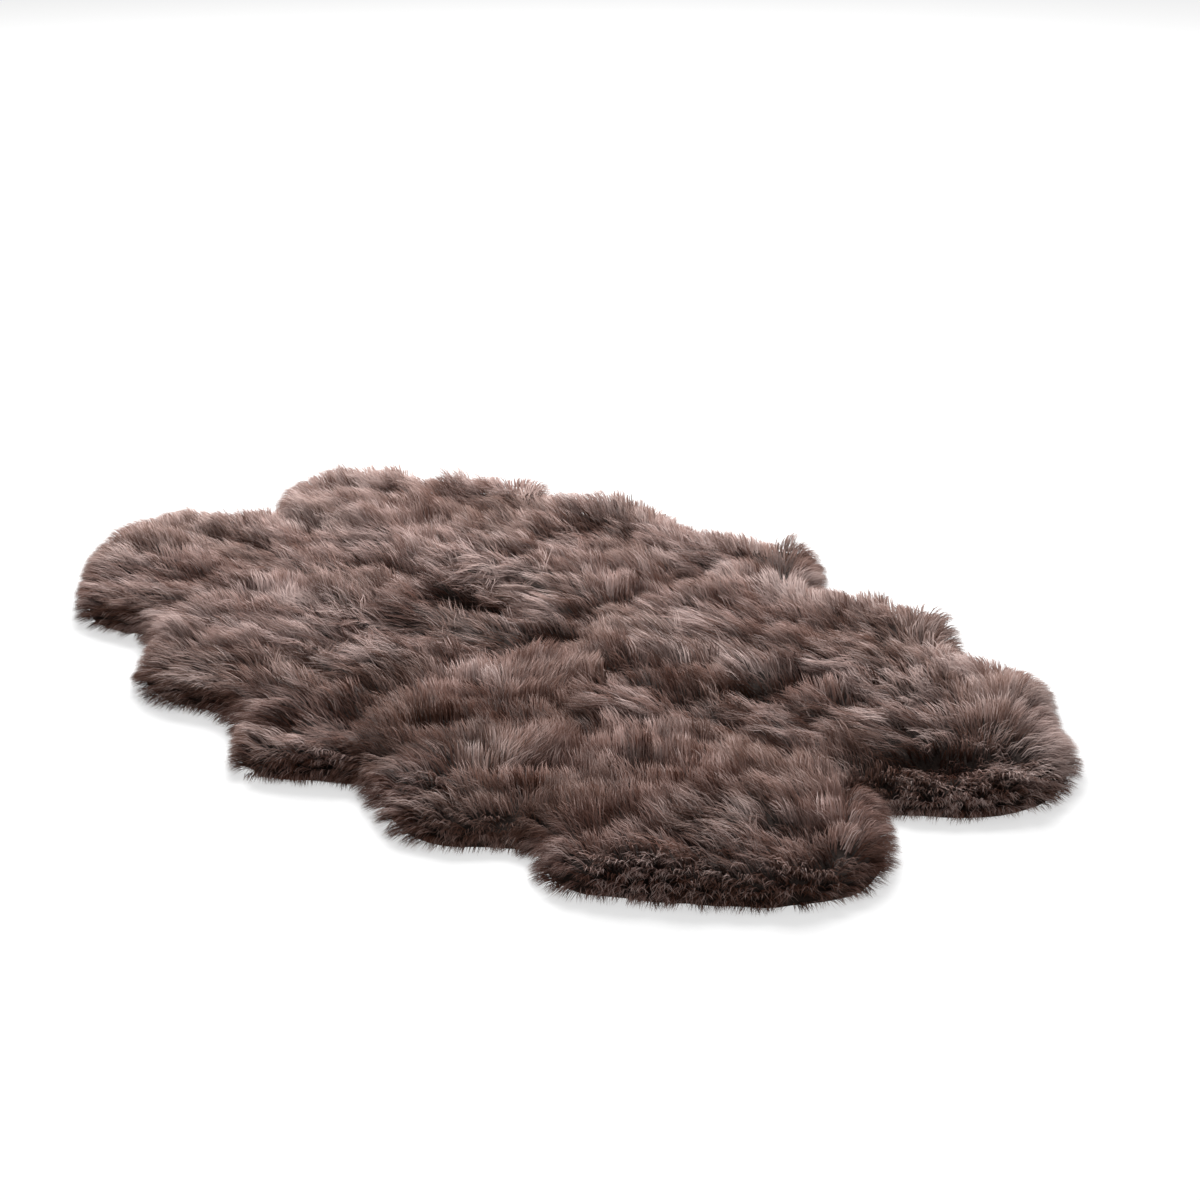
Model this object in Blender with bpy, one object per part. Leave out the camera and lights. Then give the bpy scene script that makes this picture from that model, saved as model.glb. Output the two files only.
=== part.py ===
"""Long-wool sheepskin rug of four pelts, sewn two by two.

Metres, +Z up. The skins lie on z = 0 with the wool upwards, and the rug's box is centred on the origin.
Each pelt is squared along its back and its rump, where it meets its neighbours. Its other edges keep
the natural outline of a hide: hind foot, flank, belly, elbow, fore foot, shoulder and neck. A pelt is
one closed solid, a lumpy slab of wool as high as the pile, with tapered locks at its rim.
"""

from collections import namedtuple

import bmesh
import bpy
import numpy as np
from mathutils import geometry

# Seams and columns around a pelt
SEAM_GAP = 0.0003
SEAM_STEP = 0.030
LOCKS = 74

# Wool heights
PILE = 0.059
RIM_PILE = 0.036
RIM_RUN = 0.085
SEAM_DIP = 0.015
SEAM_SPREAD = 0.035
TUFT_RISE = 0.0060
LEAST_PILE = 0.026

# Tuft points over the top: spacing, how far each is moved off the even lattice, and room to the rim
TUFT_STEP = 0.027
TUFT_SHUFFLE = 0.005
TUFT_CLEAR = 0.015
SAME_POINT = 1e-6
SHUFFLE_SEED = 4

# Locks at the rim: how far along its bend is, the bend's size beside the root, and how far tips differ
LOCK_BEND = 0.48
LOCK_TAPER = 0.50
LOCK_SWAY = 0.0035
LOCK_STRAY = 0.004
LOCK_CLEAR = 0.0035

# Steps of the curve between two rows of an outline
CURVE_STEPS = 24

# Columns over which the rim's direction is evened out, and those turned along a seam at each end
EVEN_COLUMNS = 9
TURN_COLUMNS = 4

# Section of the rim, skin to wool: how far in from the wool's reach, and the share of the height
Rim = namedtuple("Rim", "inset share")
RIM = (
    Rim(0.036, 0.00),
    Rim(0.019, 0.20),
    Rim(0.014, 0.55),
    Rim(0.025, 1.00),
)

# Where locks spring from, in turn round the rim: band of the rim, heights of the bend and of the tip
Lock = namedtuple("Lock", "band bend tip")
LOCK_ROWS = (
    Lock(1, 0.0105, 0.0035),
    Lock(2, 0.0280, 0.0180),
)

# Wool's outline, measured along the back seam from the rump and out from the back seam
Edge = namedtuple("Edge", "part along out")
NEAR_LEFT = (
    Edge("hind foot", 0.000, 0.634),
    Edge("hind foot", 0.056, 0.604),
    Edge("flank", 0.146, 0.536),
    Edge("belly", 0.208, 0.548),
    Edge("belly", 0.292, 0.578),
    Edge("belly", 0.393, 0.556),
    Edge("elbow", 0.450, 0.494),
    Edge("elbow", 0.516, 0.456),
    Edge("fore foot", 0.557, 0.480),
    Edge("fore foot", 0.620, 0.494),
    Edge("fore foot", 0.686, 0.474),
    Edge("shoulder", 0.779, 0.410),
    Edge("neck", 0.864, 0.326),
    Edge("neck", 0.903, 0.190),
    Edge("neck", 0.879, 0.105),
    Edge("cleft", 0.814, 0.043),
    Edge("cleft", 0.763, 0.000),
)
NEAR_RIGHT = (
    Edge("hind foot", 0.000, 0.634),
    Edge("hind foot", 0.062, 0.598),
    Edge("flank", 0.159, 0.523),
    Edge("belly", 0.235, 0.550),
    Edge("belly", 0.313, 0.570),
    Edge("belly", 0.390, 0.549),
    Edge("elbow", 0.440, 0.497),
    Edge("elbow", 0.494, 0.464),
    Edge("fore foot", 0.545, 0.500),
    Edge("fore foot", 0.613, 0.502),
    Edge("fore foot", 0.685, 0.453),
    Edge("shoulder", 0.764, 0.392),
    Edge("neck", 0.850, 0.303),
    Edge("neck", 0.893, 0.200),
    Edge("neck", 0.864, 0.100),
    Edge("cleft", 0.812, 0.044),
    Edge("cleft", 0.754, 0.000),
)
FAR_RIGHT = (
    Edge("hind foot", 0.000, 0.632),
    Edge("hind foot", 0.060, 0.612),
    Edge("hind foot", 0.121, 0.557),
    Edge("flank", 0.178, 0.494),
    Edge("belly", 0.245, 0.520),
    Edge("belly", 0.340, 0.556),
    Edge("belly", 0.433, 0.541),
    Edge("elbow", 0.514, 0.473),
    Edge("fore foot", 0.560, 0.498),
    Edge("fore foot", 0.622, 0.511),
    Edge("fore foot", 0.684, 0.484),
    Edge("shoulder", 0.747, 0.416),
    Edge("shoulder", 0.804, 0.372),
    Edge("neck", 0.872, 0.311),
    Edge("neck", 0.906, 0.200),
    Edge("neck", 0.877, 0.108),
    Edge("cleft", 0.818, 0.041),
    Edge("cleft", 0.754, 0.000),
)
FAR_LEFT = (
    Edge("hind foot", 0.000, 0.632),
    Edge("hind foot", 0.045, 0.587),
    Edge("hind foot", 0.116, 0.551),
    Edge("flank", 0.188, 0.520),
    Edge("belly", 0.262, 0.539),
    Edge("belly", 0.350, 0.523),
    Edge("elbow", 0.422, 0.477),
    Edge("elbow", 0.460, 0.441),
    Edge("fore foot", 0.502, 0.462),
    Edge("fore foot", 0.552, 0.466),
    Edge("fore foot", 0.615, 0.434),
    Edge("shoulder", 0.690, 0.352),
    Edge("shoulder", 0.745, 0.320),
    Edge("neck", 0.809, 0.296),
    Edge("neck", 0.851, 0.232),
    Edge("neck", 0.865, 0.150),
    Edge("neck", 0.839, 0.066),
    Edge("cleft", 0.771, 0.000),
)

# Pelts: the side of the rump seam and of the back seam each lies on, its wool's colour and its outline
Pelt = namedtuple("Pelt", "name side_x side_y colour outline")
PELTS = (
    Pelt("pelt_near_left", -1, -1, (0.118, 0.078, 0.065), NEAR_LEFT),
    Pelt("pelt_near_right", 1, -1, (0.078, 0.050, 0.042), NEAR_RIGHT),
    Pelt("pelt_far_right", 1, 1, (0.107, 0.070, 0.058), FAR_RIGHT),
    Pelt("pelt_far_left", -1, 1, (0.150, 0.104, 0.090), FAR_LEFT),
)

# Waves that the tufts rise and fall by: length, heading in degrees, and where each starts
Wave = namedtuple("Wave", "length heading start")
WAVES = (
    Wave(0.128, 12, 0.4),
    Wave(0.104, 74, 2.1),
    Wave(0.088, 131, 4.0),
    Wave(0.073, 47, 1.2),
)
WANDER = 0.018
WANDER_WAVE = 0.31

# Partings, which lie low, and crests where wool is heaped up: middle, heading, reach each way, and rise
Fold = namedtuple("Fold", "what x y heading length width rise")
FOLDS = (
    Fold("parting", -0.22, 0.060, 8, 0.085, 0.024, -0.014),
    Fold("crest", -0.27, 0.130, 12, 0.090, 0.032, 0.007),
    Fold("parting", -0.02, 0.030, 72, 0.080, 0.028, -0.010),
    Fold("parting", 0.37, 0.215, 80, 0.060, 0.030, -0.015),
    Fold("parting", 0.38, 0.110, 60, 0.050, 0.028, -0.012),
    Fold("crest", 0.30, 0.285, 15, 0.080, 0.026, 0.008),
    Fold("parting", 0.70, 0.180, 105, 0.090, 0.034, -0.013),
    Fold("crest", 0.60, 0.200, 95, 0.100, 0.040, 0.007),
    Fold("parting", 0.53, 0.220, 20, 0.040, 0.020, -0.010),
    Fold("parting", 0.31, 0.420, 150, 0.070, 0.024, -0.010),
    Fold("parting", 0.00, 0.520, 100, 0.050, 0.028, -0.012),
    Fold("crest", 0.06, 0.570, 140, 0.050, 0.030, 0.006),
    Fold("parting", -0.26, 0.380, 160, 0.080, 0.026, -0.009),
    Fold("crest", -0.60, 0.250, 160, 0.110, 0.045, 0.007),
    Fold("parting", -0.30, 0.200, 165, 0.050, 0.022, -0.009),
    Fold("parting", -0.14, -0.110, 35, 0.090, 0.050, -0.008),
    Fold("parting", -0.36, -0.230, 22, 0.075, 0.022, -0.012),
    Fold("crest", -0.36, -0.165, 168, 0.100, 0.035, 0.007),
    Fold("parting", -0.10, -0.350, 25, 0.060, 0.026, -0.010),
    Fold("parting", -0.60, -0.295, 150, 0.050, 0.026, -0.010),
    Fold("parting", 0.29, -0.135, 150, 0.060, 0.024, -0.010),
    Fold("crest", 0.66, -0.140, 70, 0.090, 0.040, 0.008),
    Fold("parting", 0.56, -0.330, 80, 0.070, 0.028, -0.011),
    Fold("crest", 0.12, -0.230, 60, 0.110, 0.045, 0.006),
)


def smooth_run(rows, count):
    """Points at even steps along a smooth curve through the rows.

    Each span is a cubic whose slopes at a row follow the line between the rows on either side of it.
    """
    knots = np.array([(row.along, row.out) for row in rows])
    before = np.vstack([2 * knots[0] - knots[1], knots[:-1]])
    after = np.vstack([knots[1:], 2 * knots[-1] - knots[-2]])
    slopes = (after - before) / 2
    t = np.linspace(0, 1, CURVE_STEPS, endpoint=False)[:, None]
    spans = []
    for start, end, leave, arrive in zip(knots[:-1], knots[1:], slopes[:-1], slopes[1:]):
        spans.append(
            (2 * t**3 - 3 * t**2 + 1) * start
            + (t**3 - 2 * t**2 + t) * leave
            + (3 * t**2 - 2 * t**3) * end
            + (t**3 - t**2) * arrive
        )
    curve = np.vstack([*spans, knots[-1:]])
    steps = np.linalg.norm(np.diff(curve, axis=0), axis=1)
    length = np.concatenate([[0], np.cumsum(steps)])
    even = np.linspace(0, length[-1], count)
    return np.column_stack([np.interp(even, length, curve[:, i]) for i in range(2)])


def inward(run):
    """Directions into the pelt along its natural edge, turned along the seams at the two ends."""
    along = np.gradient(run, axis=0)
    normal = np.column_stack([along[:, 1], -along[:, 0]])
    normal /= np.linalg.norm(normal, axis=1)[:, None]
    pad = EVEN_COLUMNS // 2
    padded = np.pad(normal, ((pad, pad), (0, 0)), mode="edge")
    kernel = np.ones(EVEN_COLUMNS) / EVEN_COLUMNS
    normal = np.column_stack([np.convolve(padded[:, i], kernel, mode="valid") for i in range(2)])
    for end, seam_way in ((0, (0, -1)), (-1, (-1, 0))):
        for column in range(TURN_COLUMNS):
            place = column if end == 0 else -1 - column
            turn = column / TURN_COLUMNS
            normal[place] = turn * normal[place] + (1 - turn) * np.array(seam_way)
    return normal / np.linalg.norm(normal, axis=1)[:, None]


def perimeter(run, inset):
    """The pelt's loop at an inset: up the rump seam, round the natural edge and back along the back seam."""
    rim = run + inset * inward(run)
    rump = np.linspace(0, rim[0, 1], round(run[0, 1] / SEAM_STEP), endpoint=False)
    back = np.linspace(rim[-1, 0], 0, round(run[-1, 0] / SEAM_STEP), endpoint=False)[1:]
    seam = SEAM_GAP / 2
    rim = np.maximum(rim, seam)
    loop = np.vstack([
        np.column_stack([np.zeros(len(rump)), rump]),
        rim,
        np.column_stack([back, np.zeros(len(back))]),
    ])
    return np.maximum(loop, seam), len(rump)


def reach_in(points, run):
    """How far each point lies in from the natural edge, to the nearest of its straight steps."""
    start, step = run[:-1], np.diff(run, axis=0)
    apart = points[:, None] - start
    share = np.clip((apart * step).sum(-1) / (step**2).sum(-1), 0, 1)
    return np.linalg.norm(apart - share[..., None] * step, axis=-1).min(axis=1)


def inside(points, loop):
    """Whether each point is inside the loop, by how many of its sides a line to the right crosses."""
    x, y = points[:, 0, None], points[:, 1, None]
    (x0, y0), (x1, y1) = loop.T, np.roll(loop, -1, axis=0).T
    spans = (y0 > y) != (y1 > y)
    rise = np.where(y1 == y0, 1, y1 - y0)
    return (spans & (x < x0 + (y - y0) * (x1 - x0) / rise)).sum(axis=1) % 2 == 1


def pile_height(x, y, reach):
    """Wool height: a crown over the rim, less the dip at the seams, with tuft waves and folds on it."""
    roll = np.clip(reach / RIM_RUN, 0, 1)
    crown = RIM_PILE + (PILE - RIM_PILE) * (1 - (1 - roll) ** 2)
    seam = np.minimum(np.abs(x), np.abs(y))
    crown = crown - SEAM_DIP * roll * np.exp(-((seam / SEAM_SPREAD) ** 2))
    turn = 2 * np.pi / WANDER_WAVE
    u = x + WANDER * np.sin(turn * y)
    v = y + WANDER * np.sin(turn * x + 1)
    tufts = np.zeros_like(x)
    for wave in WAVES:
        way = np.radians(wave.heading)
        tufts += np.cos(2 * np.pi / wave.length * (u * np.cos(way) + v * np.sin(way)) + wave.start)
    height = crown + TUFT_RISE * tufts * 2 / len(WAVES)
    for fold in FOLDS:
        way = np.radians(fold.heading)
        run = (x - fold.x) * np.cos(way) + (y - fold.y) * np.sin(way)
        off = (y - fold.y) * np.cos(way) - (x - fold.x) * np.sin(way)
        height += fold.rise * np.exp(-((run / fold.length) ** 2) - (off / fold.width) ** 2)
    return np.maximum(height, LEAST_PILE)


def tuft_points(loop, rng):
    """A lattice of near-even triangles inside the loop, each point moved a little off its place."""
    rows = np.arange(0, loop[:, 1].max(), TUFT_STEP * np.sqrt(3) / 2)
    columns = np.arange(0, loop[:, 0].max(), TUFT_STEP)
    x, y = np.meshgrid(columns, rows)
    x = x + (np.arange(len(rows)) % 2)[:, None] * TUFT_STEP / 2
    points = np.column_stack([x.ravel(), y.ravel()])
    points += rng.uniform(-TUFT_SHUFFLE, TUFT_SHUFFLE, points.shape)
    clear = reach_in(points, np.vstack([loop, loop[:1]])) > TUFT_CLEAR
    return points[clear & inside(points, loop)]


def slab(pelt, rng):
    """Closed mesh of a pelt without its locks, and the number of columns before its natural edge."""
    run = smooth_run(pelt.outline, LOCKS + 1)
    side = np.array([pelt.side_x, pelt.side_y])
    loops = [perimeter(run, row.inset) for row in RIM]
    first = loops[0][1]
    top = loops[-1][0]
    top_world = top * side
    top_height = pile_height(*top_world.T, reach_in(top, run))
    points = []
    for row, (loop, _) in zip(RIM, loops):
        points.append(np.column_stack([loop * side, row.share * top_height]))
    tufts = tuft_points(top, rng)
    tufts_world = tufts * side
    heights = pile_height(*tufts_world.T, reach_in(tufts, run))
    points.append(np.column_stack([tufts_world, heights]))
    columns = len(top)
    faces = [tuple(range(columns))]
    for ring in range(len(RIM) - 1):
        for column in range(columns):
            after = (column + 1) % columns
            low = ring * columns
            high = low + columns
            faces.append((low + column, low + after, high + after, high + column))
    flat = [tuple(point) for point in np.vstack([top, tufts])]
    rim_edges = [(column, (column + 1) % columns) for column in range(columns)]
    _, _, cells, origin, _, _ = geometry.delaunay_2d_cdt(flat, rim_edges, [], 1, SAME_POINT)
    base = (len(RIM) - 1) * columns
    for cell in cells:
        faces.append(tuple(base + origin[corner][0] for corner in cell))
    mesh = bpy.data.meshes.new(pelt.name)
    mesh.from_pydata(np.vstack(points).tolist(), [], faces)
    return mesh, run, first, columns


def draw_lock(bm, face, tip, bend_height):
    """A four-sided lock drawn out of a rim face: one section at its bend, then a point."""
    centre = face.calc_center_median()
    bend = centre.lerp(tip, LOCK_BEND)
    bend.z = bend_height
    end = bmesh.ops.extrude_discrete_faces(bm, faces=[face])["faces"][0]
    for vert in end.verts:
        vert.co = bend + LOCK_TAPER * (vert.co - centre)
    point = bmesh.ops.poke(bm, faces=[end])["verts"][0]
    point.co = tip


def add_locks(mesh, pelt, run, first, columns, rng):
    """One lock from each column of the natural edge, by turns from the lower and the upper band."""
    outward = -inward(run)
    sideways = np.column_stack([outward[:, 1], -outward[:, 0]])
    bm = bmesh.new()
    bm.from_mesh(mesh)
    bm.faces.ensure_lookup_table()
    rim_faces = list(bm.faces)[1:]
    bands = [rim_faces[band * columns:(band + 1) * columns] for band in range(len(RIM) - 1)]
    for column in range(LOCKS):
        row = LOCK_ROWS[column % len(LOCK_ROWS)]
        middle = (run[column] + run[column + 1]) / 2
        tip = middle + rng.uniform(-LOCK_STRAY, LOCK_STRAY) * outward[column]
        tip = tip + rng.uniform(-LOCK_SWAY, LOCK_SWAY) * sideways[column]
        tip = np.maximum(tip, LOCK_CLEAR) * (pelt.side_x, pelt.side_y)
        face = bands[row.band][first + column]
        target = face.calc_center_median()
        target.xyz = (tip[0], tip[1], row.tip)
        draw_lock(bm, face, target, row.bend)
    bmesh.ops.recalc_face_normals(bm, faces=bm.faces)
    bm.to_mesh(mesh)
    bm.free()


def wool(pelt):
    """Matt dyed wool in the pelt's own shade."""
    material = bpy.data.materials.new(pelt.name + "_wool")
    material.use_nodes = True
    shader = material.node_tree.nodes["Principled BSDF"]
    shader.inputs["Base Color"].default_value = (*pelt.colour, 1)
    shader.inputs["Roughness"].default_value = 0.8
    shader.inputs["Metallic"].default_value = 0
    return material


def centre_rug(objects):
    """Moves the meshes so that the middle of their common box stands over the origin."""
    points = np.vstack([[vert.co for vert in piece.data.vertices] for piece in objects])
    middle = (points.min(axis=0) + points.max(axis=0)) / 2
    for piece in objects:
        for vert in piece.data.vertices:
            vert.co.x -= middle[0]
            vert.co.y -= middle[1]


def main():
    for old in list(bpy.data.objects):
        bpy.data.objects.remove(old, do_unlink=True)
    rug = bpy.data.collections.new("sheepskin_rug")
    bpy.context.scene.collection.children.link(rug)
    rng = np.random.default_rng(SHUFFLE_SEED)
    pieces = []
    for pelt in PELTS:
        mesh, run, first, columns = slab(pelt, rng)
        add_locks(mesh, pelt, run, first, columns, rng)
        mesh.materials.append(wool(pelt))
        piece = bpy.data.objects.new(pelt.name, mesh)
        rug.objects.link(piece)
        pieces.append(piece)
    centre_rug(pieces)


main()
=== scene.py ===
"""Long-wool sheepskin rug of four pelts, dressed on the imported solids.

Metres, +Z up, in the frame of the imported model. Each pelt is a thin hide, a lumpy body of dense underwool
on it, and thousands of tapered wisps, which stand in locks and locks in tufts. Wisps of the field and
those that hang over the natural edge are separate pieces.
"""

from collections import namedtuple

import bpy
import numpy as np
from mathutils import Matrix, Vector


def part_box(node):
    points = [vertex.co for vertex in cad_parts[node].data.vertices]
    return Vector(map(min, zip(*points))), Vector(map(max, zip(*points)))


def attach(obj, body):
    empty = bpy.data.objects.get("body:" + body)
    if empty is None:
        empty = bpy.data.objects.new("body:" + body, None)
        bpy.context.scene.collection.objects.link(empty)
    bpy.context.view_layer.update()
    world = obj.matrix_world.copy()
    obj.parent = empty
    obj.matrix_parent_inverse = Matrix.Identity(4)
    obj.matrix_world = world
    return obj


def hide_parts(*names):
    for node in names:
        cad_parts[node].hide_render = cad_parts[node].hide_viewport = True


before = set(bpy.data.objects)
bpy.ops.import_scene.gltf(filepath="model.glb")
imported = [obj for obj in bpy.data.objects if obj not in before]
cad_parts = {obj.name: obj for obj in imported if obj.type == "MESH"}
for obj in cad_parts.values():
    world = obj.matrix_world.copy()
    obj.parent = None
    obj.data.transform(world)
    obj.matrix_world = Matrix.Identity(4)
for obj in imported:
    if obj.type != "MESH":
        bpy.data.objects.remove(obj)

BODY = "root"
MM = 0.001


def table(kind, lengths, rows):
    """Rows as named tuples, with the fields named in lengths turned from millimetres to metres."""
    parts = [1000 if field in lengths.split() else 1 for field in kind._fields]
    return [kind(*(value / part for value, part in zip(row, parts))) for row in rows]


# A wisp's shade makes it SHADE_BASE times as bright for each step, and no shade is above MOST_SHADE. It holds
# painted shade in hollows, painted light on crests and the painted fall of the light, with the wool's own tone
SHADE_BASE = 2.1
MOST_SHADE = 0.88

# Camera, measured from the crossing of the two seams: its place, where it looks in degrees, how far it sees,
# and its lens and picture's width in millimetres
CAMERA_PLACE = (2.953, -2.612, 1.866)
CAMERA_HEADING = 137.2
CAMERA_DOWN = 24.0
CAMERA_REACH = 100
LENS = 78.4
SENSOR = 36.0

# Soft box: its place, its two sides, and its power in watts, and then the strength of the white dome
BOX_PLACE = (-2.6, 2.2, 3.2)
BOX_SIDES = (3.2, 2.4)
BOX_POWER = 420
DOME_STRENGTH = 0.38

# Floor: how far it reaches each way, and how brightly it glows, so that it is nearly white
FLOOR_REACH = 15
FLOOR_COLOUR = (0.42, 0.42, 0.42, 1)
FLOOR_GLOW = 0.62
WHITE = (1, 1, 1, 1)

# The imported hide: how low its skin side lies, the step that its corners are rounded to so that those of
# neighbouring faces are one, and how near the crossing's axes the corners on a seam lie
FLAT_WITHIN = 0.1 * MM
SAME_WITHIN = 0.01 * MM
SEAM_WITHIN = 1 * MM

# Hide: its thickness, its rings on each side, and the innermost one as a share of its size
HIDE_THICK = 1.8 * MM
HIDE_RINGS = 7
INNERMOST = 0.02

# The wool's reach past the hide's edge, its heights in the field and at the rim with the run between them,
# the dip along the seams, its waves, its least height, and how far the waves wander and over what length
OVERHANG = 0.036
PILE = 0.059
RIM_PILE = 0.036
RIM_RUN = 0.085
SEAM_DIP = 0.015
SEAM_SPREAD = 0.035
TUFT_RISE = 0.012
LEAST_PILE = 0.026
WANDER = 0.018
WANDER_WAVE = 0.31

# Waves that the pile rises and falls by: length in millimetres, heading in degrees, and where each starts
Wave = namedtuple("Wave", "length heading start")
WAVES = table(Wave, "length", (
    (128, 12, 0.4),
    (104, 74, 2.1),
    (88, 131, 4.0),
    (73, 47, 1.2),
))

# Folds and painted shades are bells: middle, heading in degrees, reach along it and across it, and how much
Bell = namedtuple("Bell", "x y heading length width much")

# Folds, in millimetres: how much a crest is raised, where wool is heaped up, or a parting lowered
FOLDS = table(Bell, "x y length width much", (
    (-210, 10, 20, 60, 24, -10), (-270, 130, 12, 90, 32, 7), (20, 10, 60, 70, 28, -10),
    (420, 180, 80, 45, 27, -10), (380, 110, 60, 50, 28, -12), (300, 285, 15, 80, 26, 8),
    (730, 135, 60, 90, 34, -12), (660, 215, 60, 80, 35, 6), (530, 220, 20, 40, 20, -10),
    (310, 420, 150, 70, 24, -10), (15, 515, 30, 45, 24, -10), (60, 570, 140, 50, 30, 2),
    (-260, 380, 160, 80, 26, -9), (-600, 250, 160, 110, 45, 7), (-300, 200, 165, 50, 22, -9),
    (-140, -110, 35, 90, 50, -8), (-340, -270, 22, 60, 20, -6), (-360, -165, 168, 100, 35, 7),
    (-100, -350, 25, 60, 26, -10), (-600, -295, 150, 50, 26, -10), (660, -140, 70, 90, 40, 3),
    (560, -330, 80, 70, 28, -11), (120, -230, 60, 110, 45, 6), (-150, 510, 5, 450, 50, 5),
    (-20, 565, 12, 70, 50, 9), (110, 570, 100, 70, 50, -9), (-490, 410, 20, 70, 45, 6),
    (-680, 390, 20, 50, 40, -6), (-230, 470, 150, 60, 40, 6), (240, 490, 0, 90, 45, 4),
    (740, 440, 150, 80, 50, 10), (830, 380, 120, 60, 45, 6), (80, 510, 20, 30, 25, 6),
    (-330, 450, 150, 50, 40, 6), (-820, 90, 60, 70, 45, 7),
))

# Folds lie deeper in the wisps than in the solids, and a fold of this height paints one step of shade: painted
# light on a crest, and painted shade in a parting
FOLD_DEEPEN = 1.5
FOLD_SHADE = 0.028
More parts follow.
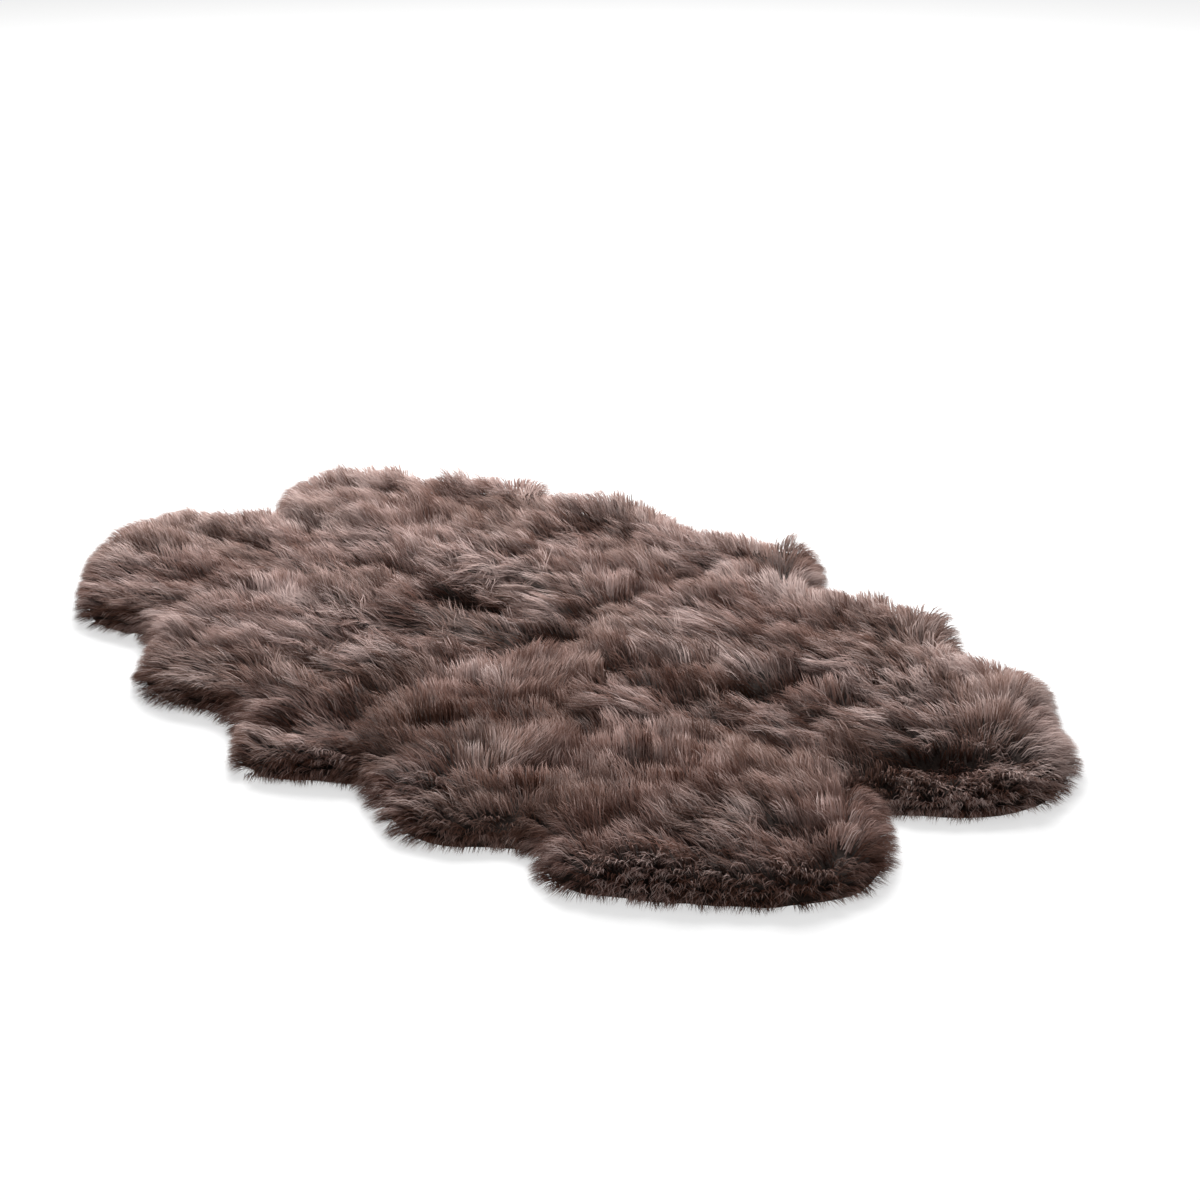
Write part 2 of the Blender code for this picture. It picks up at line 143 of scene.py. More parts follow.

# Painted shades, in millimetres and steps of shade: painted shade in hollows between locks, and painted light
# on crests that catch the light. Wide ones paint the fall of the light from place to place over the rug
PAINTED_SHADES = table(Bell, "x y length width", (
    (-175, -5, 20, 60, 24, -0.9), (30, 20, 47, 60, 22, -1.1), (205, 20, 47, 40, 20, -0.8),
    (270, 80, 47, 50, 20, -1.1), (410, 105, 20, 60, 28, -1.1), (435, 178, 50, 45, 28, -0.55),
    (360, -120, 40, 140, 90, -0.2), (450, -280, 30, 120, 70, -0.2), (100, 20, 30, 120, 70, -0.18),
    (-620, 320, 40, 120, 80, -0.2), (-450, 330, 20, 100, 60, -0.14), (720, -170, 60, 60, 30, 0.4),
    (550, 300, 130, 50, 40, 0.4), (350, 165, 20, 45, 20, 0.6), (230, 110, 20, 40, 22, 0.6),
    (50, 515, 20, 50, 26, -1.2), (110, 500, 120, 30, 30, 0.45), (800, 155, 40, 60, 26, 0.6),
    (760, 400, 140, 60, 30, 0.5), (870, 300, 120, 60, 30, 0.45), (650, -345, 40, 80, 22, 0.5),
    (-300, -260, 20, 80, 24, 0.45), (-210, 115, 20, 50, 24, 0.5), (340, 195, 30, 60, 20, 0.45),
    (500, 460, 140, 55, 32, 0.85), (535, 195, 20, 40, 18, -0.6), (380, 20, 40, 70, 35, -0.9),
    (290, 220, 2, 60, 13, -1), (45, 505, 35, 50, 28, -1.4), (-700, 150, 40, 300, 200, -0.15),
    (-200, 450, 0, 300, 150, -0.12), (800, 250, 50, 200, 150, 0.1), (660, 430, 30, 60, 30, -0.35),
    (-460, 200, 30, 50, 25, -0.3), (-560, -440, 20, 50, 20, -0.4), (225, -50, 40, 50, 20, -0.35),
    (615, 185, 342, 80, 20, 0.9), (500, 360, 30, 50, 22, 0.35), (905, 275, 50, 60, 30, 0.6),
    (210, 130, 40, 50, 22, 0.4), (610, -130, 20, 60, 15, 0.5), (690, -190, 30, 50, 17, 0.55),
    (-360, -260, 40, 60, 18, 0.35), (-500, -410, 20, 40, 20, 0.35), (-290, 180, 25, 50, 16, -1),
    (-270, 370, 60, 50, 30, -0.7), (-190, 350, 47, 50, 20, -0.5), (0, 140, 80, 50, 12, -0.7),
    (-10, 205, 50, 60, 12, -0.5), (120, -260, 45, 130, 50, -0.6), (160, -350, 47, 70, 35, -0.8),
    (180, -415, 30, 40, 13, -0.9), (280, -182, 137, 40, 22, -1), (360, -360, 47, 70, 17, -1),
    (260, -355, 137, 22, 18, -0.7), (535, -190, 15, 70, 15, -1), (530, 60, 30, 70, 20, -0.6),
    (560, 185, 30, 40, 15, -0.9), (570, 110, 10, 60, 14, -0.7), (745, 120, 47, 100, 38, -1.2),
    (780, 50, 47, 130, 40, -0.7), (745, 5, 47, 40, 25, -0.5), (430, 410, 60, 60, 35, -0.5),
    (-620, -280, 30, 60, 35, -0.6), (-600, -320, 45, 40, 12, -0.7), (-540, -470, 137, 40, 14, -0.8),
    (-650, -150, 20, 50, 25, -0.5), (-480, -80, 40, 60, 20, -0.6), (-400, -10, 20, 80, 20, -0.6),
    (-300, 30, 40, 30, 20, -0.5), (-360, -260, 25, 70, 13, -1.1), (-560, -500, 20, 100, 30, -0.4),
    (-190, -570, 15, 100, 30, -0.5), (-140, -535, 47, 30, 20, -0.8), (-250, -450, 10, 60, 15, -0.4),
    (-40, -357, 47, 45, 16, -1.2), (-170, -100, 10, 150, 60, -0.5), (-80, -290, 47, 40, 13, -0.6),
    (30, -430, 30, 50, 30, -0.6), (80, -450, 137, 50, 20, -0.5), (80, -505, 15, 32, 11, -0.8),
    (100, -610, 20, 200, 30, -0.4), (290, -510, 20, 30, 15, -0.7), (370, -500, 40, 40, 30, -0.5),
    (450, -430, 47, 80, 30, -0.8), (500, -490, 47, 60, 25, -0.8), (630, -330, 20, 60, 20, -0.9),
    (570, -430, 0, 40, 30, -0.6), (740, -350, 137, 60, 24, -0.8), (790, -190, 47, 70, 30, -0.7),
    (860, -210, 47, 40, 30, -0.7), (840, -290, 47, 80, 40, -0.4), (-220, 125, 0, 120, 38, 0.9),
    (280, -85, -10, 70, 28, 0.9), (120, 220, 0, 70, 30, 0.5), (310, 165, 0, 60, 18, 0.8),
    (90, 30, 47, 30, 15, 0.6), (30, -175, 40, 60, 35, 0.7), (100, 440, 60, 50, 30, 0.6),
    (450, 250, 0, 80, 25, 0.4), (600, 145, -10, 80, 14, 0.3), (570, 270, 47, 80, 30, 0.6),
    (850, 340, 90, 80, 50, 0.7), (740, 420, 150, 90, 40, 0.4), (450, 460, 150, 80, 40, 0.7),
    (-300, 450, 10, 120, 40, 0.4), (-650, 380, 20, 80, 50, 0.4), (-700, 0, 40, 160, 60, 0.3),
    (-500, 290, 20, 120, 40, -0.25), (-500, -250, 23, 120, 28, 0.7), (-750, -340, 25, 120, 40, 0.4),
    (-470, -450, 20, 50, 30, 0.9), (-340, -330, 25, 50, 30, 0.4), (-280, -250, 25, 70, 28, 0.7),
    (-710, -90, 30, 50, 30, 0.5), (-770, 180, 50, 80, 50, 0.5), (-680, -10, 40, 50, 30, 0.5),
    (-680, 370, 20, 50, 50, 0.5), (-10, 410, 15, 80, 50, 0.9), (150, 460, 60, 50, 35, 1),
    (360, 225, 5, 70, 22, 0.9), (410, -170, 47, 40, 30, 0.9), (570, -250, 30, 50, 30, 0.7),
    (660, 10, 47, 60, 40, 0.9), (520, 420, 150, 60, 40, 0.9), (170, 90, 47, 30, 20, 0.4),
    (350, 140, 30, 50, 20, 0.5), (490, 315, 30, 50, 25, 0.5), (865, -235, 60, 50, 40, 0.5),
    (910, 220, 60, 50, 40, 0.6), (700, 390, 47, 50, 40, 0.5), (270, -560, 120, 40, 40, 0.5),
    (-360, -580, 120, 40, 40, 0.5), (120, 260, 0, 70, 20, -0.5), (250, -10, 20, 70, 20, -0.6),
    (200, -260, 80, 50, 25, -0.5), (170, -480, 20, 60, 25, -0.5), (30, -500, 20, 80, 25, -0.4),
    (620, -375, 40, 90, 18, -0.7), (660, -225, 20, 50, 20, -0.5), (540, 130, 30, 60, 20, -0.5),
    (430, 360, 60, 40, 20, -0.4), (-580, -420, 20, 50, 25, -0.5), (780, 380, 100, 80, 50, 0.6),
    (560, -485, 120, 50, 40, 0.8), (-530, 250, 30, 60, 30, -0.5), (-420, 120, 30, 60, 30, -0.4),
    (-170, 300, 20, 60, 30, -0.4), (-350, 270, 30, 50, 30, -0.4), (150, 300, 10, 60, 30, -0.5),
    (80, 170, 0, 60, 30, -0.4), (250, 20, 40, 50, 30, -0.5), (170, -215, 40, 90, 30, -0.5),
    (70, -410, 30, 70, 30, -0.4), (0, -120, 20, 150, 70, -0.2), (650, 400, 90, 40, 40, 0.4),
    (-400, -200, 20, 100, 35, 0.9), (-600, 50, 0, 150, 80, 0.3), (-450, -360, 30, 100, 60, 0.25),
    (-150, -235, 20, 80, 28, 0.5), (225, -335, 85, 50, 28, 0.7), (290, -315, 30, 50, 15, 0.8),
    (300, -480, 30, 40, 20, 0.4), (570, -360, 47, 40, 13, 0.6), (655, -175, 20, 90, 28, 1.1),
    (630, -270, 25, 80, 25, 0.4), (690, -410, 30, 30, 30, 0.5), (790, 230, 47, 70, 30, 0.5),
    (-750, -250, 47, 260, 240, 0.35), (-400, -380, 30, 200, 140, 0.2),
))

# Painted shade in hollows is this much darker than their rows say, and painted shades that add up end at the
# darkest and the lightest
HOLLOW_GAIN = 1.25
DARKEST = -1.8
LIGHTEST = 1.0

# Painted shades, folds and combed places were set on a plan of the picture at this height, so that the painted
# light and shade falls where the camera sees the wool. A hollow lies nearer the camera than its painted shade,
# and lower by this much for each step of shade, and a crest lies higher
SEEN_HEIGHT = 0.050
HOLLOW_NEAR = 0.020
HOLLOW_DROP = 0.013
CREST_LIFT = 0.003

# Combed places: middle in millimetres, the way the tips point in degrees, how far the place reaches in
# millimetres, lean as a share of the pile's height, curl, and painted light and shade, from -1, painted shade
# in a hollow, to 1, painted light on a crest
Comb = namedtuple("Comb", "x y heading reach lean curl shade")
COMBS = table(Comb, "x y reach", (
    (-800, -220, 200, 120, 0.6, 0.1, 0.4), (-700, -120, 205, 90, 0.7, 0.3, 0.1),
    (-600, 0, 200, 100, 0.6, 0.2, 0.5), (-680, 120, 200, 100, 0.6, 0.1, 0.3),
    (-580, 220, 190, 70, 0.4, 0.1, -0.4), (-450, 50, 195, 100, 0.7, 0.2, 0.4),
    (-460, -90, 230, 50, 0.9, 0.9, -0.2), (-600, -280, 215, 60, 0.6, 0.3, -0.5),
    (-680, -400, 238, 110, 1.3, 0.2, 0.2), (-400, -190, 200, 80, 0.6, 0.2, 0.7),
    (-290, -200, 240, 50, 0.9, 0.9, 0), (-450, -420, 205, 100, 0.8, 0.1, 0.2),
    (-300, -520, 238, 90, 1.2, 0.2, -0.1), (-170, -140, 228, 80, 1.4, 0.7, -0.5),
    (-180, -280, 228, 80, 1.2, 1, 0.3), (-280, -340, 210, 70, 0.8, 0.2, 0.3),
    (-60, -360, 210, 50, 0.6, 0.3, -0.5), (-300, 100, 222, 70, 1.4, 0.8, 0.8),
    (-200, 120, 218, 60, 1.4, 0.8, 0.8), (-200, 20, 232, 60, 1, 0.9, -0.6),
    (-90, -60, 228, 60, 1.3, 0.6, -0.5), (-110, 120, 225, 60, 1.2, 0.1, 0),
    (-120, 280, 160, 90, 0.7, 0.2, 0.1), (-280, 380, 205, 90, 0.9, 0.3, -0.2),
    (-120, 440, 215, 90, 0.9, 0.2, 0.1), (-480, 360, 205, 100, 0.8, 0.1, 0.1),
    (-680, 320, 210, 100, 0.8, 0.1, 0.2), (60, 100, 200, 70, 0.5, 0.1, 0.4),
    (140, 210, 217, 80, 1.6, 0.1, 0.5), (240, 210, 217, 60, 1.6, 0.1, 0),
    (380, 250, 220, 80, 1.5, 0.2, 0.6), (250, 70, 160, 50, 0.5, 0.1, 0.2),
    (420, 190, 145, 40, 0.5, 0.1, -0.2), (390, 0, 225, 60, 0.8, 0.9, -0.1),
    (500, 100, 225, 70, 1.3, 0.5, 0), (630, 180, 222, 70, 1.4, 0.3, 0.5),
    (560, 270, 230, 60, 1, 1, 0.6), (-10, -180, 165, 70, 0.5, 0.1, 0.6),
    (100, -90, 85, 80, 0.9, 0, 0.1), (200, 0, 210, 50, 0.7, 0.8, -0.3),
    (280, -70, 208, 60, 1, 0.1, 0.5), (80, -280, 150, 100, 0.4, 0, -0.5),
    (220, -340, 200, 50, 0.9, 0.1, 0.1), (310, -320, 85, 60, 0.9, 0.1, 0.6),
    (0, -520, 250, 100, 1.3, 0.1, 0.1), (120, -460, 210, 70, 1.1, 0.1, -0.4),
    (280, -490, 270, 60, 0.9, 0.8, 0), (420, -400, 165, 80, 0.4, 0.2, -0.5),
    (480, -240, 158, 90, 0.4, 0, -0.3), (440, -120, 160, 70, 0.5, 0.1, 0),
    (550, -90, 162, 100, 0.5, 0.1, 0.1), (630, -20, 180, 60, 0.7, 0.1, 0.1),
    (610, -180, 207, 50, 1, 0.1, 0.4), (610, -290, 217, 70, 1.4, 0.1, 0.1),
    (540, -390, 200, 60, 0.6, 0.1, 0.4), (660, -420, 300, 80, 0.9, 1, 0),
    (730, -370, 312, 60, 0.9, 1, -0.1), (700, -220, 215, 60, 0.6, 0.8, 0.2),
    (770, -160, 205, 60, 0.5, 0.5, -0.2), (800, -220, 235, 50, 0.5, 0.9, -0.5),
    (800, -300, 317, 80, 0.8, 1, -0.2), (840, -120, 120, 80, 0.6, 0.1, 0.4),
    (720, 80, 322, 70, 0.7, 0.6, -0.6), (820, 100, 328, 80, 0.9, 0.9, -0.2),
    (800, 200, 340, 60, 0.9, 1, -0.1), (820, 310, 45, 90, 1.2, 0.1, 0.5),
    (700, 390, 60, 60, 1.1, 0.1, 0.3), (620, 370, 170, 60, 0.7, 0.1, 0),
    (140, 420, 205, 80, 0.7, 0, 0.5), (320, 310, 195, 80, 0.4, 0, -0.4),
    (320, 430, 210, 80, 0.9, 0.2, 0), (430, 420, 215, 80, 0.9, 0.4, -0.1),
))

# The lay between combed places, how much it weighs against them, and how much of their painted light and
# shade shows
BASE_COMB = Comb(0, 0, 205, 0, 0.45, 0.22, 0.0)
BASE_WEIGHT = 0.16
COMB_SHADE = 0.6

# Pelts: the imported node, the piece's name, its own seed, and the painted light and shade of its wool in
# steps:
# the far pelts lighter and the near ones darker, as the light falls
Pelt = namedtuple("Pelt", "node name seed shade")
PELTS = (
    Pelt("pelt_near_left", "near_left", 11, -0.18),
    Pelt("pelt_near_right", "near_right", 12, -0.22),
    Pelt("pelt_far_right", "far_right", 13, 0.02),
    Pelt("pelt_far_left", "far_left", 14, 0.12),
)

# Smooth noises, as rows of how much, lattice size and seed, and the span of their lattices. Ways, swirl and
# stray turn a lock, and lumps raise and lower the wool
WAY_DRIFTS = ((20, 0.19, 21), (12, 0.075, 22))
SWIRL_DRIFTS = ((1, 0.030, 29),)
STRAY_DRIFTS = ((1, 0.055, 34), (0.6, 0.030, 35))
LEAN_DRIFTS = ((0.3, 0.10, 23), (0.3, 0.04, 36))
LOCK_SHADE_DRIFTS = ((0.10, 0.11, 24), (0.08, 0.04, 28), (0.38, 0.019, 37))
WISP_SHADE_DRIFTS = ((0.42, 0.009, 45),)
CURL_DRIFTS = ((0.25, 0.16, 27),)
BLUSH_DRIFTS = ((0.9, 0.10, 25),)
CLUMP_DRIFTS = ((0.16, 0.12, 26),)
LUMP_DRIFTS = ((0.10, 0.060, 43), (0.05, 0.030, 44))
UNDER_DRIFTS = ((0.16, 0.017, 5), (0.12, 0.041, 6))
DRIFT_SPAN = 2.4

# Underwool: its height as a share of the pile, how far it bulges past the hide, columns and rings, its gap
# over the hide, the least height of its side over that, and how near a seam its edge is made straight
UNDER_SHARE = 0.50
UNDER_BULGE = 0.015
UNDER_COLUMNS = 130
UNDER_RINGS = 18
UNDER_GAP = 0.3 * MM
UNDER_LEAST = 0.2 * MM
UNDER_STRAIGHT = 1.5 * MM

# Rings of its underside and the outermost one on top, by share of its size, and rings of its side, by share
# of the bulge and of the height at the edge. The side has UNDER_EDGE of the full height, and the top has
# UNDER_DRAWN of it at the edge, and soon all of it, by UNDER_FILL
UNDER_FLOOR = (INNERMOST, 0.5, 0.95)
UNDER_TOP = 0.985
UNDER_SIDE = ((-0.4, 0.08), (1.0, 0.45), (0.7, 0.92))
UNDER_EDGE = 0.88
UNDER_DRAWN = 0.97
UNDER_FILL = 0.3

# Locks: step of their lattice, how far each is moved off its place, and how wide one is at its root
LOCK_STEP = 0.0156
LOCK_SHUFFLE = 0.0050
LOCK_RADIUS = 0.0125

# How locks differ: turn in degrees and how many times as much more of it in a curl, the swirl of curls and
# the slow stray in degrees, and the spreads of lean, of height and of the tip's height
LOCK_TURN = 8
CURL_TURN = 2
SWIRL = 90
STRAY_TURN = 30
LOCK_LEAN = 0.05
LEAST_LEAN = 0.1
LOCK_HEIGHT = 0.025
TIP_HEIGHTS = (0.94, 1.06)

# A lock that leans more than LAID_FROM lies lower. Its bend lies at a share of its way out, which is more at
# the rim, and of its way up
LAID_FROM = 0.6
LAID_LOWER = 0.24
BEND_OUT = 0.14
BEND_OUT_RIM = 0.42
BEND_UP = 0.96

# The place on the plan whose painted light and shade a lock takes lies at this share of its way up and of
# its way out
SEEN_UP = 0.9
SEEN_OUT = 0.6

# How stringy wool is: by its curl, and by how much more than STRINGY_FROM it leans. Evenness ends where the
# wool is one part in EVEN_ENDS of the way to full strands
STRINGY_CURL = 1.1
STRINGY_LEAN = 0.9
STRINGY_FROM = 0.7
EVEN_ENDS = 3

# Pairs of a value in even wool, and how much more of it there is in strands: how far wool is parted between
# tufts, how dark the painted shade in that parting is, the spread of locks' shades, how far a lock's wisps
# close towards its tip, and how loosely they lie
PARTED = (0.45, 0.55)
BORDER_SHADE = (0.08, 0.14)
SHADE_SPREAD = (0.34, 0.30)
CLUMP = (0.24, 0.50)
LOOSE = (0.6, 0.5)

# Shade in steps: of a tuft, more in strands, and less in even wool
TUFT_SHADE = 0.08
STRINGY_SHADE = 0.12
EVEN_SHADE = 0.10

# Clump keeps within this range, and is less at the rim, down low and at kept edges. At its bend a lock has
# BEND_CLUMP of it
CLUMP_RANGE = (0.02, 0.8)
CLUMP_LESS = 0.4
BEND_CLUMP = 0.4

# Rim: how far in locks turn outwards, and from how far in they roll over the edge, lowest at the hide's edge.
# The least roll and the spread of turns are in degrees. Then how strongly the edge pulls locks outwards, how
# much higher than its tip a lock bends, how reaches differ, and from how much of a rim a lock is at the rim
RIM_BAND = 0.068
RIM_ROLL = 0.048
RIM_LEAST = 2
RIM_TURN = 14
RIM_PULL = 1.4
RIM_DROOP = 0.013
RIM_REACHES = (0.98, 1.06)
RIM_FROM = 0.12

# A lock is low near the end of its roll, by how steeply that comes, and a low one reaches out this much less
LOW_STEEP = 2.5
LOW_DRAWN = 0.08

# Edges that face a heading in degrees reach further out, or less far: the heading, how narrowly, and the
# share more
REACHES = (
    (137, 1, 0.40),
    (262, 8, 0.45),
    (50, 2, 0.20),
    (317, 3, -0.06),
)

# Edges that face this heading in degrees are pulled out this much less, keep this share of their own way,
# stand this much higher, and glow this much more, which is painted light, as they face the soft box
KEPT_HEADING = 137
KEPT_LAY = 0.40
KEPT_WAY = 0.5
KEPT_RISE = 0.11
KEPT_GLOW = 0.5

# Further lattices of locks that cover the roll over the edge, by how far in each reaches
RIM_LATTICES = (0.055, 0.032, 0.024)

# Turn from one wisp of a lock to the next, which spaces them evenly
GOLDEN_TURN = np.pi * (3 - np.sqrt(5))

# Tufts, which locks of one heading form: their area, step of their lattice and how they differ, how far and
# over what size their borders wander, how wide a border is as a share of the step, and their seeds
TUFT_AREA = ((-1.0, -0.75), (1.0, 0.75))
TUFT_STEP = 0.096
TUFT_SHUFFLE = 0.040
TUFT_TURN = 18
TUFT_LEAN = 0.12
TUFT_LIFT = 0.08
TUFT_DROP = 0.17
TUFT_WARP = 0.016
TUFT_WARP_SIZE = 0.035
TUFT_BORDER = 0.35
TUFT_PLACE_SEED = 31
TUFT_SEED = 32
TUFT_WARP_SEEDS = (41, 42)

# Height of the wool's top as a share of the pile's
WOOL_TOP = 1.04

# Kinds of wisps: sections along the path, half widths in millimetres, how far a tip strays in
# millimetres, and how much of the way from the bend to its lock's tip one reaches, least and most, and how
# much less of it at the rim
Kind = namedtuple("Kind", "path widths stray least most short")
LONG = Kind((0.24, 0.56, 0.81, 1.0), (1.10, 1.00, 0.55), 3.0, 0.88, 1.12, 0.10)
SHORT = Kind((0.28, 0.70, 1.0), (1.15, 0.75), 3.0, 0.84, 1.06, 0.14)
HAIR = Kind((0.45, 1.0), (0.36,), 4.5, 0.92, 1.20, -0.04)

# Kinds in each lock, and how many: where the wool stands evenly, where it hangs in strands, and at the rim.
# Then how stringy a lock is that hangs in strands, how that differs between locks, and how high a wisp's
# ridge stands as a share of its half width
EVEN_KINDS = ((SHORT, 6), (HAIR, 9))
STRAND_KINDS = ((LONG, 3), (SHORT, 3), (HAIR, 4))
RIM_KINDS = ((LONG, 1), (SHORT, 3), (HAIR, 12))
STRAND_FROM = 0.35
STRAND_SPREAD = 0.1
RIDGE_SHARE = 0.75

# Heights that the tips and the sections of wisps keep within
LOWEST_TIP = 1.5 * MM
LOWEST_RING = 0.8 * MM
HIGHEST_TIP = 0.086

# How wisps differ: place in the lock, stray each way and how it shows in their lengths, roll in degrees,
# width, normal, and shade in steps, in all wool, more in strands, and more again at the rim
WISP_PLACES = (0.1, 0.9)
STRAY_WAYS = (1.0, 1.0, 0.6)
STRAY_LENGTH = 1.2
WISP_ROLL = 28
WISP_WIDTHS = (0.75, 1.25)
WISP_NORMAL = 0.12
WISP_SHADE = 0.15
STRINGY_WISP_SHADE = 0.42
RIM_WISP_SHADE = 1.2

# At the rim wisps lie less loosely, and end more evenly, by RIM_EVEN_SOON as soon as the rim begins. They
# glow, with painted light along their length that lifts the dark of their roots: over the roll, by GLOW_SOON
# near its start, and in even wool
LOOSE_RIM = 0.6
RIM_EVEN = 0.85
RIM_EVEN_SOON = 1.5
RIM_LIGHT = 0.45
GLOW_SOON = 1.6
GLOW_EVEN = 0.6

# How far aside a curly tip hooks, its turns round the path, how wisps differ in both, how much flatter than
# wide the hook is, and how much less of it there is down low and how much flatter it is at the rim
HOOK = 0.010
HOOK_TURNS = 0.6
HOOK_RANGE = (0.6, 1.4)
HOOK_SPREAD = 0.4
HOOK_FLAT = 0.7
HOOK_LESS = 0.8

# Normals: step over which the pile's slope is taken, how much steeper it shades, the least that one points up
# at the rim, a side's share of the ridge's, and the share of the pile's in a wisp's
SLOPE_STEP = 0.008
SLOPE_GAIN = 1.4
RIM_UP = 0.45
SIDE_RIDGE = 0.4
PILE_NORMAL = 0.72

# Maps: columns and rows of a wisp's root cap, how many times taller than wide its cell is, and the cell's
# margin and filled share each way. On the fibre map wisps start at places over this range across it, and
# this many times as far along it
CAP_COLUMNS = (2.4, 1.6, 2.0)
CAP_ROWS = (-0.6, -0.6, -0.1)
CELL_TALL = 3.0
CELL_WIDTH = (0.06, 0.88)
CELL_HEIGHT = (0.03, 0.94)
FIBRE_STARTS = 40
FIBRE_APART = 3.7


def unit(vectors):
    """Vectors of length one."""
    return vectors / np.maximum(np.linalg.norm(vectors, axis=-1), 1e-9)[..., None]


def floor_way(heading):
    """The way on the floor of a heading in degrees, counted counter-clockwise from +X."""
    angle = np.radians(heading)
    return np.stack([np.cos(angle), np.sin(angle)], axis=-1)


def facing(ways, heading):
    """How much ways point along a heading, from 0, where they are square to it or point back, to 1."""
    return np.clip(ways @ floor_way(heading), 0, 1)


def turned(ways, degrees):
    """Directions in the plane, turned counter-clockwise."""
    angle = np.radians(degrees)
    cos, sin = np.cos(angle), np.sin(angle)
    return np.column_stack([ways[:, 0] * cos - ways[:, 1] * sin, ways[:, 0] * sin + ways[:, 1] * cos])


def at_height(places, height):
    """Places in the plane as points, all at one height or each at its own."""
    return np.column_stack([places, np.broadcast_to(height, len(places))])


def eased(share):
    """A share from 0 to 1 that sets out and arrives gently: its square times three less twice itself."""
    return share**2 * (3 - 2 * share)


def in_strands(pair, stringy):
    """A value in even wool, plus how much more of it there is in strands, by how stringy the wool is."""
    return pair[0] + pair[1] * stringy


def linear(colour):
    """An sRGB hex colour as linear red, green, blue and an alpha of one."""
    values = np.array([int(colour[i:i + 2], 16) / 255 for i in (1, 3, 5)])
    values = np.where(values <= 0.04045, values / 12.92, ((values + 0.055) / 1.055) ** 2.4)
    return (*values, 1.0)


def seam_crossing():
    """Where the two seams cross: halfway between the sides of the pelts that face each other there."""
    far_low, far_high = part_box("pelt_far_left")
    near_low, near_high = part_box("pelt_near_right")
    return np.array([(far_high[0] + near_low[0]) / 2, (far_low[1] + near_high[1]) / 2])


def stand(piece, place, ahead):
    """Stands a camera or lamp at its place, so that it looks ahead and is level from side to side.

    The columns of its matrix are the ways to its right, up and back, and its place."""
    right = unit(np.cross(ahead, (0, 0, 1)))
    columns = np.column_stack([right, np.cross(right, ahead), -ahead, place])
    bpy.context.scene.collection.objects.link(piece)
    piece.matrix_world = Matrix([*columns.tolist(), (0, 0, 0, 1)])


def place_camera():
    """Camera at the viewing angle of the picture, which looks along its heading and down."""
    down = np.radians(CAMERA_DOWN)
    data = bpy.data.cameras.new("camera")
    data.lens = LENS
    data.sensor_width = SENSOR
    data.clip_end = CAMERA_REACH
    camera = bpy.data.objects.new("camera", data)
    ahead = np.array([*(floor_way(CAMERA_HEADING) * np.cos(down)), -np.sin(down)])
    stand(camera, np.array(CAMERA_PLACE) + (*CROSSING, 0), ahead)
    bpy.context.scene.camera = camera


def drift(points, size, seed):
    """Smooth noise from -1 to 1: random numbers on a lattice of that size, eased from one to the next."""
    rng = np.random.default_rng(seed)
    count = int(DRIFT_SPAN / size) + 4
    lattice = rng.uniform(-1, 1, (count, count))
    place = points / size + count / 2
    cell = np.floor(place).astype(int)
    i, j = cell.T
    u, v = eased(place - cell).T
    low = lattice[i, j] * (1 - u) + lattice[i + 1, j] * u
    high = lattice[i, j + 1] * (1 - u) + lattice[i + 1, j + 1] * u
    return low * (1 - v) + high * v


def drifts(points, rows, start=0):
    """Smooth noises of rows of how much, lattice size and seed, added to a start one after another."""
    return sum((much * drift(points, size, seed) for much, size, seed in rows), start)


def signed_area(loop):
    """Area in a loop: half the sum of its sides' cross products, and below 0 where it runs clockwise."""
    ahead = np.roll(loop, -1, axis=0)
    return (loop[:, 0] * ahead[:, 1] - ahead[:, 0] * loop[:, 1]).sum() / 2


def hide_loop(node):
    """The hide's edge, counter-clockwise from above: the sides of the flat skin-side faces that only one
    face has, end to end. Points are measured from the crossing of the seams."""
    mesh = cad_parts[node].data
    points = np.empty(len(mesh.vertices) * 3)
    mesh.vertices.foreach_get("co", points)
    points = points.reshape(-1, 3)
    corners = np.empty(len(mesh.loops), int)
    mesh.loops.foreach_get("vertex_index", corners)
    faces = corners.reshape(-1, 3)
    flat = faces[points[faces][:, :, 2].max(axis=1) < FLAT_WITHIN]
    steps = np.round(points[:, :2] / SAME_WITHIN).astype(int)
    places, where = np.unique(steps, axis=0, return_inverse=True)
    flat = where.ravel()[flat]
    sides = np.vstack([flat[:, [0, 1]], flat[:, [1, 2]], flat[:, [2, 0]]])
    ways = sides[:, 0] * len(places) + sides[:, 1]
    back = sides[:, 1] * len(places) + sides[:, 0]
    follow = dict(sides[~np.isin(ways, back)].tolist())
    order = [next(iter(follow))]
    while len(order) < len(follow):
        order.append(follow[order[-1]])
    loop = places[order] * SAME_WITHIN - CROSSING
    return loop[::-1] if signed_area(loop) < 0 else loop


def natural_sides(loop):
    """The loop's sides off the seams, as starts, steps, and outward normals at both ends of each.

    An end's normal is the mean of those of the three natural sides before it and the three after it."""
    ahead = np.roll(loop, -1, axis=0)
    step = ahead - loop
    normal = unit(np.column_stack([step[:, 1], -step[:, 0]]))
    seam = (np.abs(loop) < SEAM_WITHIN) & (np.abs(ahead) < SEAM_WITHIN)
    natural = ~seam.any(axis=1)
    weighed = normal * natural[:, None]
    spread = unit(sum(np.roll(weighed, shift, axis=0) for shift in range(-2, 4)))
    return loop[natural], step[natural], spread[natural], np.roll(spread, -1, axis=0)[natural]


def to_edge(points, sides):
    """How far each point lies in from the hide's natural edge, and the way out there."""
    start, step, first, last = sides
    apart = points[:, None] - start
    share = np.clip((apart * step).sum(-1) / (step**2).sum(-1), 0, 1)
    gaps = np.linalg.norm(apart - share[..., None] * step, axis=-1)
    near = gaps.argmin(axis=1)
    point = np.arange(len(points))
    part = share[point, near][:, None]
    return gaps[point, near], unit(first[near] * (1 - part) + last[near] * part)


